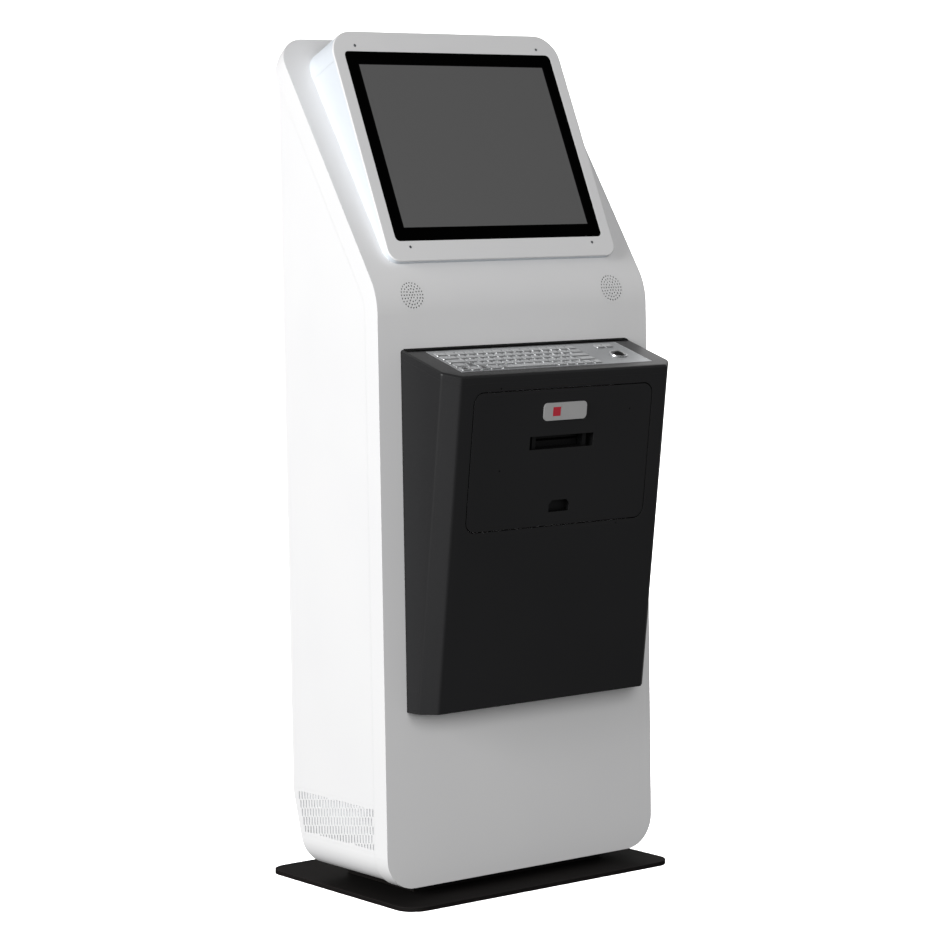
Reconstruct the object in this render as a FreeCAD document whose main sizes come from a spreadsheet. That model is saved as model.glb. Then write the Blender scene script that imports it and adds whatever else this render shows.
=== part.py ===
"""Self-service kiosk: a floor-standing sheet-metal cabinet with a raked screen and a keyboard console.

Millimetres, +X to the right of a person facing the screen, +Y away from that person, +Z up.
The origin is the middle of the floor plate's underside.
"""
import FreeCAD, Part
import Sketcher
import math
import os

from FreeCAD import Placement, Rotation, Vector

os.makedirs("parts", exist_ok=True)
doc = FreeCAD.newDocument("kiosk")

# Driving dimensions
DIMENSIONS = (
    ("plate_width", 600),
    ("plate_depth", 440),
    ("plate_thickness", 8),
    ("plate_corner", 38),
    ("plate_nose", 62),
    ("anchor_hole", 12),
    ("anchor_span_x", 300),
    ("anchor_span_y", 110),
    ("cable_bore", 40),
    ("plinth_width", 426),
    ("plinth_depth", 200),
    ("plinth_setback", 45),
    ("plinth_wall", 3),
    ("plinth_flange", 28),
    ("bolt_size", 8),
    ("bolt_inset", 14),
    ("cabinet_width", 600),
    ("cabinet_depth", 288),
    ("cabinet_sheet", 2),
    ("wrap_base", 32),
    ("wrap_corner", 50),
    ("wrap_inset", 1),
    ("heel_height", 163),
    ("heel_angle", 15.7),
    ("front_base", 26),
    ("front_corner", 58),
    ("front_flange", 37),
    ("knee_height", 1056),
    ("knee_radius", 108),
    ("slant_angle", 33.4),
    ("slant_length", 536),
    ("head_overhang", 10),
    ("door_width", 490),
    ("door_height", 1090),
    ("door_sill", 268),
    ("door_gap", 2.5),
    ("door_flange", 16),
    ("door_hinge_radius", 4),
    ("door_hinge_length", 60),
    ("hinge_leaf_width", 22),
    ("hinge_leaf", 2),
    ("hinge_pin", 4),
    ("pin_fit", 0.05),
    ("lock_radius", 9.5),
    ("lock_backset", 24),
    ("lock_spacing", 560),
    ("lock_fit", 0.06),
    ("cam_length", 34),
    ("cam_width", 12),
    ("cam_thickness", 2.5),
    ("louvre_count", 9),
    ("louvre_length", 120),
    ("louvre_width", 5),
    ("louvre_pitch", 14),
    ("vent_height", 72),
    ("vent_base", 94),
    ("vent_margin", 6),
    ("vent_pitch_y", 9.4),
    ("vent_pitch_z", 16),
    ("vent_slot_width", 3.6),
    ("vent_slot_length", 11),
    ("speaker_offset", 222.5),
    ("speaker_size", 56),
    ("speaker_hole", 3),
    ("speaker_ring_pitch", 5.6),
    ("speaker_depth", 26),
    ("screen_tilt", 23.7),
    ("screen_centre_y", 111.5),
    ("screen_centre_z", 1312),
    ("bezel_width", 506),
    ("bezel_height", 438),
    ("bezel_rise", 1),
    ("bezel_thickness", 3),
    ("bezel_corner_top", 48),
    ("bezel_corner_low", 24),
    ("bezel_edge", 1.4),
    ("band_seam", 163),
    ("band_joint", 0.2),
    ("glass_width", 459),
    ("glass_height", 361),
    ("glass_thickness", 3),
    ("glass_corner", 9),
    ("glass_fit", 0.4),
    ("glass_sink", 0.3),
    ("display_width", 430),
    ("display_height", 330),
    ("display_depth", 12),
    ("rail_depth", 10),
    ("rail_end", 10),
    ("trim_screw_x", 203),
    ("trim_screw_v", 192),
    ("trim_screw_size", 5),
    ("console_width", 510),
    ("console_top", 962),
    ("console_bottom", 336),
    ("console_foot", 58),
    ("console_lean", 7.9),
    ("console_corner", 48),
    ("console_sheet", 2),
    ("deck_slope", 17),
    ("deck_reach", 146),
    ("deck_skirt", 14),
    ("deck_thickness", 3),
    ("deck_edge", 5),
    ("keyboard_width", 424),
    ("keyboard_depth", 107),
    ("keyboard_back", 16.5),
    ("keyboard_corner", 2),
    ("keyboard_lap", 8),
    ("keyboard_plate", 1.5),
    ("key_pitch_x", 20.35),
    ("key_pitch_v", 18.6),
    ("key_left", 6),
    ("key_first_row", 18.5),
    ("key_gap", 3.4),
    ("key_clearance", 0.4),
    ("key_rise", 3),
    ("key_lip", 1),
    ("key_travel", 1.8),
    ("key_stem", 6),
    ("key_base_depth", 14),
    ("key_tray_wall", 1.5),
    ("mouse_key_x", 159.5),
    ("ball_size", 30),
    ("ball_sink", 5),
    ("ball_x", 168),
    ("ball_v", 80),
    ("ball_gap", 0.3),
    ("ring_width", 4.6),
    ("ring_grip", 0.4),
    ("ring_height", 2),
    ("flap_width", 394),
    ("flap_height", 241),
    ("flap_corner", 19),
    ("flap_centre_z", 769.5),
    ("flap_gap", 2),
    ("flap_sheet", 2),
    ("flap_axis_depth", 6),
    ("flap_axis_drop", 20),
    ("flap_knuckle", 3.5),
    ("flap_pin", 3),
    ("flap_lug", 3),
    ("flap_side_gap", 0.3),
    ("flap_knuckle_length", 30),
    ("flap_hinge_x", 164),
    ("flap_arm", 3),
    ("flap_arm_reach", 24),
    ("reader_width", 95),
    ("reader_height", 31),
    ("reader_x", 1.5),
    ("reader_z", 850),
    ("reader_corner", 8),
    ("reader_proud", 2),
    ("reader_depth", 34),
    ("reader_window_width", 17),
    ("reader_window_height", 16),
    ("reader_window_x", -17.6),
    ("slot_width", 142),
    ("slot_height", 23.5),
    ("slot_z", 796.5),
    ("throat_depth", 20),
    ("throat_wall", 2),
    ("guide_width", 8),
    ("guide_offset", 56),
    ("pull_width", 46),
    ("pull_height", 21),
    ("pull_x", 4),
    ("pull_z", 683.5),
    ("pull_chamfer", 7),
    ("pull_depth", 12),
    ("pull_wall", 1.5),
    ("pin_screw_size", 3),
    ("printer_width", 136),
    ("printer_height", 50),
    ("printer_depth", 52),
    ("printer_clearance", 3),
    ("chassis_sheet", 2),
    ("chassis_width", 150),
    ("roll_radius", 36),
    ("roll_core", 8),
    ("roll_width", 112),
    ("spindle_fit", 0.3),
    ("shelf_height", 640),
    ("shelf_sheet", 2),
    ("shelf_lip", 24),
    ("controller_width", 300),
    ("controller_depth", 190),
    ("controller_height", 84),
    ("supply_width", 180),
    ("supply_depth", 110),
    ("supply_height", 52),
    ("fan_size", 80),
    ("fan_depth", 25),
    ("fan_bore", 38),
    ("fan_hub", 17),
    ("fan_blade_gap", 1.5),
    ("fan_blades", 7),
    ("fan_boss", 5),
    ("inlet_width", 58),
    ("inlet_height", 34),
    ("inlet_x", -180),
    ("inlet_z", 212),
    ("inlet_depth", 30),
    ("inlet_flange", 4),
    ("switch_width", 12),
    ("switch_length", 20),
)

sheet = doc.addObject("Spreadsheet::Sheet", "Sizes")
for row, (alias, amount) in enumerate(DIMENSIONS, start=1):
    sheet.set(f"A{row}", alias)
    sheet.set(f"B{row}", str(amount))
    sheet.setAlias(f"B{row}", alias)
doc.recompute()


class Size:
    """A length or angle that carries its number and the expression that yields it."""

    def __init__(self, number, text):
        self.number = float(number)
        self.text = text

    @staticmethod
    def of(other):
        return other if isinstance(other, Size) else Size(other, repr(float(other)))

    def joined(self, other, sign, number):
        return Size(number, f"({self.text} {sign} {other.text})")

    def __add__(self, other):
        other = Size.of(other)
        return self.joined(other, "+", self.number + other.number)

    def __radd__(self, other):
        return Size.of(other) + self

    def __sub__(self, other):
        other = Size.of(other)
        return self.joined(other, "-", self.number - other.number)

    def __rsub__(self, other):
        return Size.of(other) - self

    def __mul__(self, other):
        other = Size.of(other)
        return self.joined(other, "*", self.number * other.number)

    def __rmul__(self, other):
        return Size.of(other) * self

    def __truediv__(self, other):
        other = Size.of(other)
        return self.joined(other, "/", self.number / other.number)

    def __neg__(self):
        return Size.of(0) - self

    def __float__(self):
        return self.number


def size(alias):
    return Size(sheet.get(alias), f"Sizes.{alias}")


D = {alias: size(alias) for alias, amount in DIMENSIONS}
N = {alias: float(D[alias]) for alias in D}


def tan(angle):
    return math.tan(math.radians(angle))


def sin(angle):
    return math.sin(math.radians(angle))


def cos(angle):
    return math.cos(math.radians(angle))


# Planes and frames that several pieces share
FRONT_Y = N["plate_nose"] - N["plate_depth"] / 2
REAR_Y = FRONT_Y + N["cabinet_depth"]
HEAD_TOP = N["knee_height"] + N["slant_length"] * cos(N["slant_angle"])
X_AXIS = Vector(1, 0, 0)
Y_AXIS = Vector(0, 1, 0)
Z_AXIS = Vector(0, 0, 1)


def tilted(y, z, angle):
    """Frame whose XY plane is a face turned about X; its local Z leaves the face."""
    return Placement(Vector(0, y, z), Rotation(X_AXIS, angle))


def local(frame, x, y, z=0.0):
    return frame.multVec(Vector(x, y, z))


SCREEN = tilted(FRONT_Y + N["screen_centre_y"], N["screen_centre_z"], 90 - N["screen_tilt"])
SLANT = tilted(FRONT_Y, N["knee_height"], 90 - N["slant_angle"])
DECK = tilted(FRONT_Y, N["console_top"], N["deck_slope"])
FACE_LEAN = tan(N["console_lean"])
FACE_CENTRE_Y = FRONT_Y - N["console_foot"] - FACE_LEAN * (N["flap_centre_z"] - N["console_bottom"])
FACE = tilted(FACE_CENTRE_Y, N["flap_centre_z"], 90 + N["console_lean"])
REAR = Placement(Vector(0, REAR_Y, 0), Rotation(-X_AXIS, Z_AXIS, Y_AXIS, "XYZ"))
KNEE_NORMAL = Vector(0, -cos(N["slant_angle"] / 2), sin(N["slant_angle"] / 2))


def on_face(z):
    """Distance up the console's front face of a point at world height z."""
    return (z - N["flap_centre_z"]) / cos(N["console_lean"])


parts = []


def keep(item):
    parts.append(item)
    return item


def feature(name, shape, frame=None):
    item = doc.addObject("Part::Feature", name)
    item.Label = name
    item.Shape = shape
    if frame is not None:
        item.Placement = frame
    return keep(item)


# Sketch helpers: every length in a sketch is bound to the sheet
def start_body(name, frame=None):
    body = doc.addObject("PartDesign::Body", name)
    body.Label = name
    if frame is not None:
        body.Placement = frame
    return keep(body)


def start_sketch(body, name, raised=0.0):
    sketch = body.newObject("Sketcher::SketchObject", name)
    plane = [item for item in body.Origin.OriginFeatures if item.Role == "XY_Plane"][0]
    sketch.AttachmentSupport = [(plane, "")]
    sketch.MapMode = "FlatFace"
    raised = Size.of(raised)
    sketch.AttachmentOffset = Placement(Vector(0, 0, float(raised)), Rotation())
    sketch.setExpression("AttachmentOffset.Base.z", raised.text)
    return sketch


def bind(sketch, kind, spots, amount):
    amount = Size.of(amount)
    index = sketch.addConstraint(Sketcher.Constraint(kind, *spots, float(amount)))
    sketch.setExpression(f"Constraints[{index}]", amount.text)


def draw_rectangle(sketch, width, height, centre_x=0.0, centre_y=0.0):
    width, height = Size.of(width), Size.of(height)
    centre_x, centre_y = Size.of(centre_x), Size.of(centre_y)
    left = float(centre_x) - float(width) / 2
    low = float(centre_y) - float(height) / 2
    corners = [Vector(left, low, 0), Vector(left + float(width), low, 0)]
    corners += [Vector(left + float(width), low + float(height), 0), Vector(left, low + float(height), 0)]
    first = sketch.GeometryCount
    for index in range(4):
        sketch.addGeometry(Part.LineSegment(corners[index], corners[(index + 1) % 4]), False)
    for index in range(4):
        link = (first + index, 2, first + (index + 1) % 4, 1)
        sketch.addConstraint(Sketcher.Constraint("Coincident", *link))
    for index in (0, 2):
        sketch.addConstraint(Sketcher.Constraint("Horizontal", first + index))
    for index in (1, 3):
        sketch.addConstraint(Sketcher.Constraint("Vertical", first + index))
    bind(sketch, "DistanceX", (first, 1, first, 2), width)
    bind(sketch, "DistanceY", (first + 1, 1, first + 1, 2), height)
    bind(sketch, "DistanceX", (-1, 1, first, 1), centre_x - width / 2)
    bind(sketch, "DistanceY", (-1, 1, first, 1), centre_y - height / 2)


def draw_circle(sketch, radius, centre_x=0.0, centre_y=0.0):
    radius, centre_x, centre_y = Size.of(radius), Size.of(centre_x), Size.of(centre_y)
    centre = Vector(float(centre_x), float(centre_y), 0)
    index = sketch.addGeometry(Part.Circle(centre, Z_AXIS, float(radius)), False)
    bind(sketch, "Radius", (index,), radius)
    bind(sketch, "DistanceX", (-1, 1, index, 3), centre_x)
    bind(sketch, "DistanceY", (-1, 1, index, 3), centre_y)


def pad(body, sketch, length, down=False):
    item = body.newObject("PartDesign::Pad", f"{sketch.Name}_pad")
    item.Profile = sketch
    length = Size.of(length)
    item.Length = float(length)
    item.setExpression("Length", length.text)
    item.Reversed = down
    body.Tip = item
    doc.recompute()
    return item


def pocket(body, sketch, depth=None, up=False):
    """Cut the sketch into the body, down from its plane unless up is set."""
    item = body.newObject("PartDesign::Pocket", f"{sketch.Name}_pocket")
    item.Profile = sketch
    item.Reversed = up
    if depth is None:
        item.Type = "ThroughAll"
        item.Midplane = True
    else:
        depth = Size.of(depth)
        item.Length = float(depth)
        item.setExpression("Length", depth.text)
    before = body.Shape.Volume
    body.Tip = item
    doc.recompute()
    if body.Shape.Volume >= before - 1e-6:
        raise RuntimeError(f"{item.Name} cut nothing")
    return item


def fillet(body, radius, wanted):
    """Round the edges of the body's tip that the wanted function accepts."""
    base = body.Tip
    names = [f"Edge{index}" for index, edge in enumerate(base.Shape.Edges, start=1) if wanted(edge)]
    item = body.newObject("PartDesign::Fillet", f"{body.Name}_fillet_{len(body.Group)}")
    item.Base = (base, names)
    radius = Size.of(radius)
    item.Radius = float(radius)
    item.setExpression("Radius", radius.text)
    body.Tip = item
    doc.recompute()
    return item


def fillet_upright(body, radius, wanted=lambda spot: True):
    """Round the edges that run along the body's Z, where wanted accepts their middle."""
    def upright(edge):
        ends = [vertex.Point for vertex in edge.Vertexes]
        if len(ends) != 2 or not isinstance(edge.Curve, (Part.Line, Part.LineSegment)):
            return False
        along = ends[1] - ends[0]
        return math.hypot(along.x, along.y) < 1e-6 and wanted((ends[0] + ends[1]) / 2)
    return fillet(body, radius, upright)


# Solid helpers for the formed sheets
def prism(points, direction):
    return Part.Face(Part.makePolygon([*points, points[0]])).extrude(direction)


def rounded_face(width, height, radius_top, radius_low, centre_x=0.0, centre_y=0.0):
    """Rectangle in the XY plane with its own radius at the top and bottom corners."""
    left, right = centre_x - width / 2, centre_x + width / 2
    low, top = centre_y - height / 2, centre_y + height / 2
    half = math.sqrt(0.5)
    edges = []
    corners = ((right, low, radius_low, 1, -1), (right, top, radius_top, 1, 1),
               (left, top, radius_top, -1, 1), (left, low, radius_low, -1, -1))
    for x, y, radius, sx, sy in corners:
        middle = Vector(x - sx * radius, y - sy * radius, 0)
        along_x = middle + Vector(0, sy * radius, 0)
        along_y = middle + Vector(sx * radius, 0, 0)
        bend = middle + Vector(sx * radius * half, sy * radius * half, 0)
        start, end = (along_x, along_y) if sx * sy < 0 else (along_y, along_x)
        edges.append((start, bend, end))
    wire = []
    for index, (start, bend, end) in enumerate(edges):
        wire.append(Part.Arc(start, bend, end).toShape())
        wire.append(Part.LineSegment(end, edges[(index + 1) % 4][0]).toShape())
    return Part.Face(Part.Wire(wire))


def box_between(x0, x1, y0, y1, z0, z1):
    return Part.makeBox(x1 - x0, y1 - y0, z1 - z0, Vector(x0, y0, z0))


def rounding_tool(radius, depth):
    """What is cut from a square corner to leave a quarter round; corner at the origin, along +Z."""
    block = Part.makeBox(radius + 20, radius + 20, depth, Vector(-20, -20, 0))
    return block.cut(Part.makeCylinder(radius, depth, Vector(radius, radius, 0)))


def placed(shape, placement):
    moved = shape.copy()
    moved.Placement = placement.multiply(moved.Placement)
    return moved


def mirrored(shape):
    return shape.mirror(Vector(0, 0, 0), X_AXIS)


def front_curve(inward):
    """Side-view points and arc of the bent front, moved inward from the outer face."""
    angle = N["slant_angle"]
    tangent = N["knee_radius"] * tan(angle / 2)
    radius = N["knee_radius"] - inward
    centre_y = FRONT_Y + N["knee_radius"]
    centre_z = N["knee_height"] - tangent
    low = Vector(0, centre_y - radius, centre_z)
    middle = Vector(0, centre_y - radius * cos(angle / 2), centre_z + radius * sin(angle / 2))
    high = Vector(0, centre_y - radius * cos(angle), centre_z + radius * sin(angle))
    return low, middle, high


def front_edges(inward, base, limit_y):
    """Edges from the bottom up to where the curve meets the plane y = limit_y."""
    low, middle, high = front_curve(inward)
    foot = Vector(0, low.y, base)
    rise = (limit_y - high.y) / tan(N["slant_angle"])
    tip = Vector(0, limit_y, high.z + rise)
    edges = [Part.LineSegment(foot, low).toShape(), Part.Arc(low, middle, high).toShape()]
    edges.append(Part.LineSegment(high, tip).toShape())
    return edges, foot, tip


def front_band(outer, inner, base, limit_y, top, width):
    """Solid between two inward offsets of the bent front, closed by the head's rear plane."""
    outer_edges, outer_foot, outer_tip = front_edges(outer, base, limit_y)
    inner_edges, inner_foot, inner_tip = front_edges(inner, base, limit_y)
    wire = [*outer_edges, Part.LineSegment(outer_tip, inner_tip).toShape()]
    wire += [*inner_edges, Part.LineSegment(inner_foot, outer_foot).toShape()]
    face = Part.Face(Part.Wire(Part.__sortEdges__(wire)))
    face.translate(Vector(-width / 2, 0, 0))
    solid = face.extrude(Vector(width, 0, 0))
    cap = box_between(-width, width, FRONT_Y - 50, REAR_Y + 100, top, top + 300)
    return solid.cut(cap)


def round_front_corners(solid, width, base, radius_low, top_length, radius_top):
    """Round the four corners seen from the front: two at the base, two in the raked plane."""
    reach = N["cabinet_depth"] + 200
    tool = rounding_tool(radius_low, reach).mirror(Vector(0, 0, 0), Y_AXIS)
    low = placed(tool, Placement(Vector(-width / 2, FRONT_Y - 50, base), Rotation(X_AXIS, -90)))
    tool = rounding_tool(radius_top, reach).mirror(Vector(0, 0, 0), Y_AXIS)
    high = placed(tool, Placement(Vector(-width / 2, top_length, -reach + 20), Rotation()))
    high = placed(high, SLANT)
    for cutter in (low, high):
        solid = solid.cut(cutter).cut(mirrored(cutter))
    return solid


def front_tray(inset):
    """Closed form of the front tray, its walls moved inward by inset on every side."""
    width = N["cabinet_width"] - 2 * inset
    limit = REAR_Y + N["head_overhang"] - inset
    depth = N["front_flange"] + 30 if inset else N["front_flange"]
    solid = front_band(inset, depth, N["front_base"] + inset, limit, HEAD_TOP - inset, width)
    return round_front_corners(solid, width, N["front_base"] + inset, N["front_corner"] - inset,
                               N["slant_length"] - inset, N["front_corner"] - inset)


def rear_line(inward):
    """Side-view points of the cabinet's back, from the head down to the base."""
    y = REAR_Y - inward
    heel = N["heel_height"] + inward * tan(N["heel_angle"] / 2)
    base = N["wrap_base"]
    foot = Vector(0, y - (heel - base) * tan(N["heel_angle"]), base)
    return Vector(0, y, heel), foot


# Base
def make_base():
    body = start_body("floor_plate", Placement(Vector(0, 0, 0), Rotation()))
    outline = start_sketch(body, "plate_outline")
    draw_rectangle(outline, D["plate_width"], D["plate_depth"])
    pad(body, outline, D["plate_thickness"])
    holes = start_sketch(body, "plate_holes")
    centre_y = D["plate_nose"] - D["plate_depth"] / 2 + D["plinth_setback"] + D["plinth_depth"] / 2
    for sx in (-1, 1):
        for sy in (-1, 1):
            draw_circle(holes, D["anchor_hole"] / 2, sx * D["anchor_span_x"] / 2,
                        centre_y + sy * D["anchor_span_y"] / 2)
    draw_circle(holes, D["cable_bore"] / 2, 0, centre_y)
    pocket(body, holes, D["plate_thickness"], up=True)
    fillet_upright(body, D["plate_corner"], lambda spot: abs(spot.x) > N["plate_width"] / 2 - 1)


PLINTH_Y = FRONT_Y + N["plinth_setback"] + N["plinth_depth"] / 2
PLINTH_RISE = N["wrap_base"] - N["plate_thickness"]


def bolt_spots():
    dx = N["plinth_width"] / 2 - N["plinth_wall"] - N["bolt_inset"]
    dy = N["plinth_depth"] / 2 - N["plinth_wall"] - N["bolt_inset"]
    return [(sx * dx, PLINTH_Y + sy * dy) for sx in (-1, 1) for sy in (-1, 1)]


def make_plinth():
    frame = Placement(Vector(0, PLINTH_Y, N["plate_thickness"]), Rotation())
    body = start_body("plinth", frame)
    rise = D["wrap_base"] - D["plate_thickness"]
    outline = start_sketch(body, "plinth_outline")
    draw_rectangle(outline, D["plinth_width"], D["plinth_depth"])
    pad(body, outline, rise)
    hollow = start_sketch(body, "plinth_hollow", D["plinth_wall"])
    draw_rectangle(hollow, D["plinth_width"] - 2 * D["plinth_wall"],
                   D["plinth_depth"] - 2 * D["plinth_wall"])
    pocket(body, hollow, rise, up=True)
    mouth = start_sketch(body, "plinth_mouth")
    draw_rectangle(mouth, D["plinth_width"] - 2 * D["plinth_wall"] - 2 * D["plinth_flange"],
                   D["plinth_depth"] - 2 * D["plinth_wall"] - 2 * D["plinth_flange"])
    pocket(body, mouth, D["plinth_wall"], up=True)
    holes = start_sketch(body, "plinth_holes")
    dx = D["plinth_width"] / 2 - D["plinth_wall"] - D["bolt_inset"]
    dy = D["plinth_depth"] / 2 - D["plinth_wall"] - D["bolt_inset"]
    for sx in (-1, 1):
        for sy in (-1, 1):
            draw_circle(holes, D["bolt_size"] / 2 + D["pin_fit"], sx * dx, sy * dy)
    pocket(body, holes, D["plinth_wall"], up=True)


def make_plinth_bolts():
    shank = N["bolt_size"] / 2
    floor = N["plate_thickness"] + N["plinth_wall"]
    bolts = []
    for x, y in bolt_spots():
        head = Part.makeCylinder(shank * 1.65, shank * 1.3, Vector(x, y, floor))
        bolts.append(head.fuse(Part.makeCylinder(shank, N["plinth_wall"], Vector(x, y, floor - N["plinth_wall"]))))
    feature("plinth_bolts", Part.makeCompound(bolts))


# Cabinet sheets
WRAP_WIDTH = N["cabinet_width"] - 2 * N["wrap_inset"]
WRAP_INNER = WRAP_WIDTH - 2 * N["cabinet_sheet"]


def cabinet_block(inset, back_inset, front_extra=0.0):
    """Closed form of the cabinet behind the front tray, walls moved inward by inset."""
    width = WRAP_WIDTH - 2 * inset
    base = N["wrap_base"] + inset
    limit = REAR_Y - back_inset
    edges, foot, tip = front_edges(N["front_flange"] - front_extra, base, limit)
    heel, rear_foot = rear_line(back_inset)
    rear_foot = Vector(0, rear_foot.y + inset * tan(N["heel_angle"]), base)
    for start, end in ((tip, heel), (heel, rear_foot), (rear_foot, foot)):
        edges.append(Part.LineSegment(start, end).toShape())
    face = Part.Face(Part.Wire(Part.__sortEdges__(edges)))
    face.translate(Vector(-width / 2, 0, 0))
    solid = face.extrude(Vector(width, 0, 0))
    radius = N["wrap_corner"] - inset
    tool = rounding_tool(radius, N["cabinet_depth"] + 200).mirror(Vector(0, 0, 0), Y_AXIS)
    tool = placed(tool, Placement(Vector(-width / 2, FRONT_Y - 50, base), Rotation(X_AXIS, -90)))
    return solid.cut(tool).cut(mirrored(tool))


def vent_outline(margin):
    """Corners of the vent area in the side view, grown outward by margin."""
    low = N["vent_base"] - margin
    high = N["vent_base"] + N["vent_height"] + margin
    front = FRONT_Y + N["front_flange"] + N["vent_margin"] - margin
    slope = tan(N["heel_angle"])
    rear_low = REAR_Y - (N["heel_height"] - low) * slope - 2 * N["vent_margin"] + margin
    rear_high = REAR_Y - (N["heel_height"] - high) * slope - 2 * N["vent_margin"] + margin
    return [Vector(0, front, low), Vector(0, rear_low, low), Vector(0, rear_high, high), Vector(0, front, high)]


def vent_panel(margin, outside, thickness):
    """Vent insert on the left side, from x = -outside inward."""
    points = [point + Vector(-outside, 0, 0) for point in vent_outline(margin)]
    return prism(points, Vector(thickness, 0, 0))


def vent_slots(outside, thickness):
    """Staggered upright slots that fill the vent area column by column."""
    area = vent_outline(0)
    low, high = area[0].z, area[2].z
    slots = []
    column = 0
    y = area[0].y + N["vent_slot_width"] / 2
    while y < area[2].y:
        centre = high - N["vent_pitch_z"] / 2 - (N["vent_pitch_z"] / 2 if column % 2 else 0)
        if column % 2:
            centre += N["vent_pitch_z"]
        while centre > low - N["vent_slot_length"] / 2:
            top = min(high, centre + N["vent_slot_length"] / 2)
            foot = max(low, centre - N["vent_slot_length"] / 2)
            reach = REAR_Y - (N["heel_height"] - foot) * tan(N["heel_angle"]) - 2 * N["vent_margin"]
            if top - foot > N["vent_slot_width"] and y + N["vent_slot_width"] / 2 < reach:
                slots.append(box_between(-outside - 1, -outside + thickness + 1, y - N["vent_slot_width"] / 2,
                                         y + N["vent_slot_width"] / 2, foot, top))
            centre -= N["vent_pitch_z"]
        y += N["vent_pitch_y"]
        column += 1
    return slots


def make_wrap():
    outer = cabinet_block(0, 0)
    width = WRAP_INNER
    base = N["wrap_base"] + N["cabinet_sheet"]
    hollow = box_between(-width / 2, width / 2, FRONT_Y - 50, REAR_Y + 100, base, HEAD_TOP + 100)
    radius = N["wrap_corner"] - N["cabinet_sheet"]
    tool = rounding_tool(radius, N["cabinet_depth"] + 200).mirror(Vector(0, 0, 0), Y_AXIS)
    tool = placed(tool, Placement(Vector(-width / 2, FRONT_Y - 50, base), Rotation(X_AXIS, -90)))
    shell = outer.cut(hollow.cut(tool).cut(mirrored(tool)))
    window = vent_panel(N["vent_margin"], WRAP_WIDTH / 2 + 1, N["cabinet_sheet"] + 2)
    shell = shell.cut(window).cut(mirrored(window))
    for x, y in bolt_spots():
        shell = shell.cut(Part.makeCylinder(N["bolt_size"], 20, Vector(x, y, N["wrap_base"] - 5)))
    for sx in (-1, 1):
        for sy in (-1, 1):
            spot = Vector(sx * N["anchor_span_x"] / 2, PLINTH_Y + sy * N["anchor_span_y"] / 2, N["wrap_base"] - 5)
            shell = shell.cut(Part.makeCylinder(N["anchor_hole"], 20, spot))
    entry = Part.makeCylinder(N["cable_bore"] / 2, 20, Vector(0, PLINTH_Y, N["wrap_base"] - 5))
    feature("cabinet_wrap", shell.cut(entry))


def make_vents():
    panel = vent_panel(N["vent_margin"], WRAP_WIDTH / 2, N["cabinet_sheet"])
    panel = panel.cut(Part.makeCompound(vent_slots(WRAP_WIDTH / 2, N["cabinet_sheet"])))
    feature("vent_left", panel)
    feature("vent_right", mirrored(panel))


def make_rear_panel():
    outer = cabinet_block(N["cabinet_sheet"], 0)
    core = cabinet_block(N["cabinet_sheet"], N["cabinet_sheet"])
    strip = outer.cut(core)
    keep_back = box_between(-400, 400, REAR_Y - N["cabinet_depth"] / 3, REAR_Y + 1, N["wrap_base"], HEAD_TOP)
    strip = strip.common(keep_back)
    low, high = N["door_sill"] - N["door_gap"], N["door_sill"] + N["door_height"] + N["door_gap"]
    half = N["door_width"] / 2 + N["door_gap"]
    thick = N["cabinet_sheet"]
    deep = N["door_flange"] - N["pin_fit"]
    frame = box_between(-half - thick, half + thick, REAR_Y - deep, REAR_Y, low - thick, high + thick)
    strip = strip.fuse(frame).cut(box_between(-half, half, REAR_Y - 60, REAR_Y + 5, low, high))
    half_x, half_z = N["inlet_width"] / 2 - N["inlet_flange"], N["inlet_height"] / 2 - N["inlet_flange"]
    strip = strip.cut(box_between(N["inlet_x"] - half_x, N["inlet_x"] + half_x, REAR_Y - 10, REAR_Y + 5,
                                  N["inlet_z"] - half_z, N["inlet_z"] + half_z))
    feature("rear_panel", strip)


def speaker_axis(side, depth):
    """Point behind the bend's outer face, on the speaker's axis."""
    low, middle, high = front_curve(0)
    return Vector(side * N["speaker_offset"], middle.y, middle.z) - KNEE_NORMAL * depth


def speaker_post(side, radius, start, length):
    return Part.makeCylinder(radius, length, speaker_axis(side, start), -KNEE_NORMAL)


def console_opening():
    """Doorway in the cabinet front behind the console, for cables and the printer's chassis."""
    half = N["chassis_width"] / 2 + 20
    return box_between(-half, half, FRONT_Y - 5, FRONT_Y + N["front_flange"] - 5,
                       N["flap_centre_z"] - N["flap_height"] / 2, N["flap_centre_z"] - 20)


def make_front_panel():
    tray = front_tray(0).cut(front_tray(N["cabinet_sheet"]))
    for side in (-1, 1):
        tray = tray.cut(speaker_post(side, N["speaker_size"] / 2, -5, 20))
    tray = tray.cut(console_opening())
    flange = N["front_flange"]
    lip = front_band(flange - N["cabinet_sheet"], flange, N["front_base"], REAR_Y + N["head_overhang"],
                     HEAD_TOP, N["cabinet_width"] - 2 * N["cabinet_sheet"])
    lip = lip.common(box_between(-400, 400, REAR_Y - 3 * N["cabinet_sheet"], REAR_Y + 50, 0, 2000))
    tray = tray.fuse(lip)
    hatch = box_between(-N["display_width"] / 4, N["display_width"] / 4, N["slant_length"] * 0.45,
                        N["slant_length"] * 0.75, -10, 10)
    feature("front_panel", tray.cut(placed(hatch, SLANT)))


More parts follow.
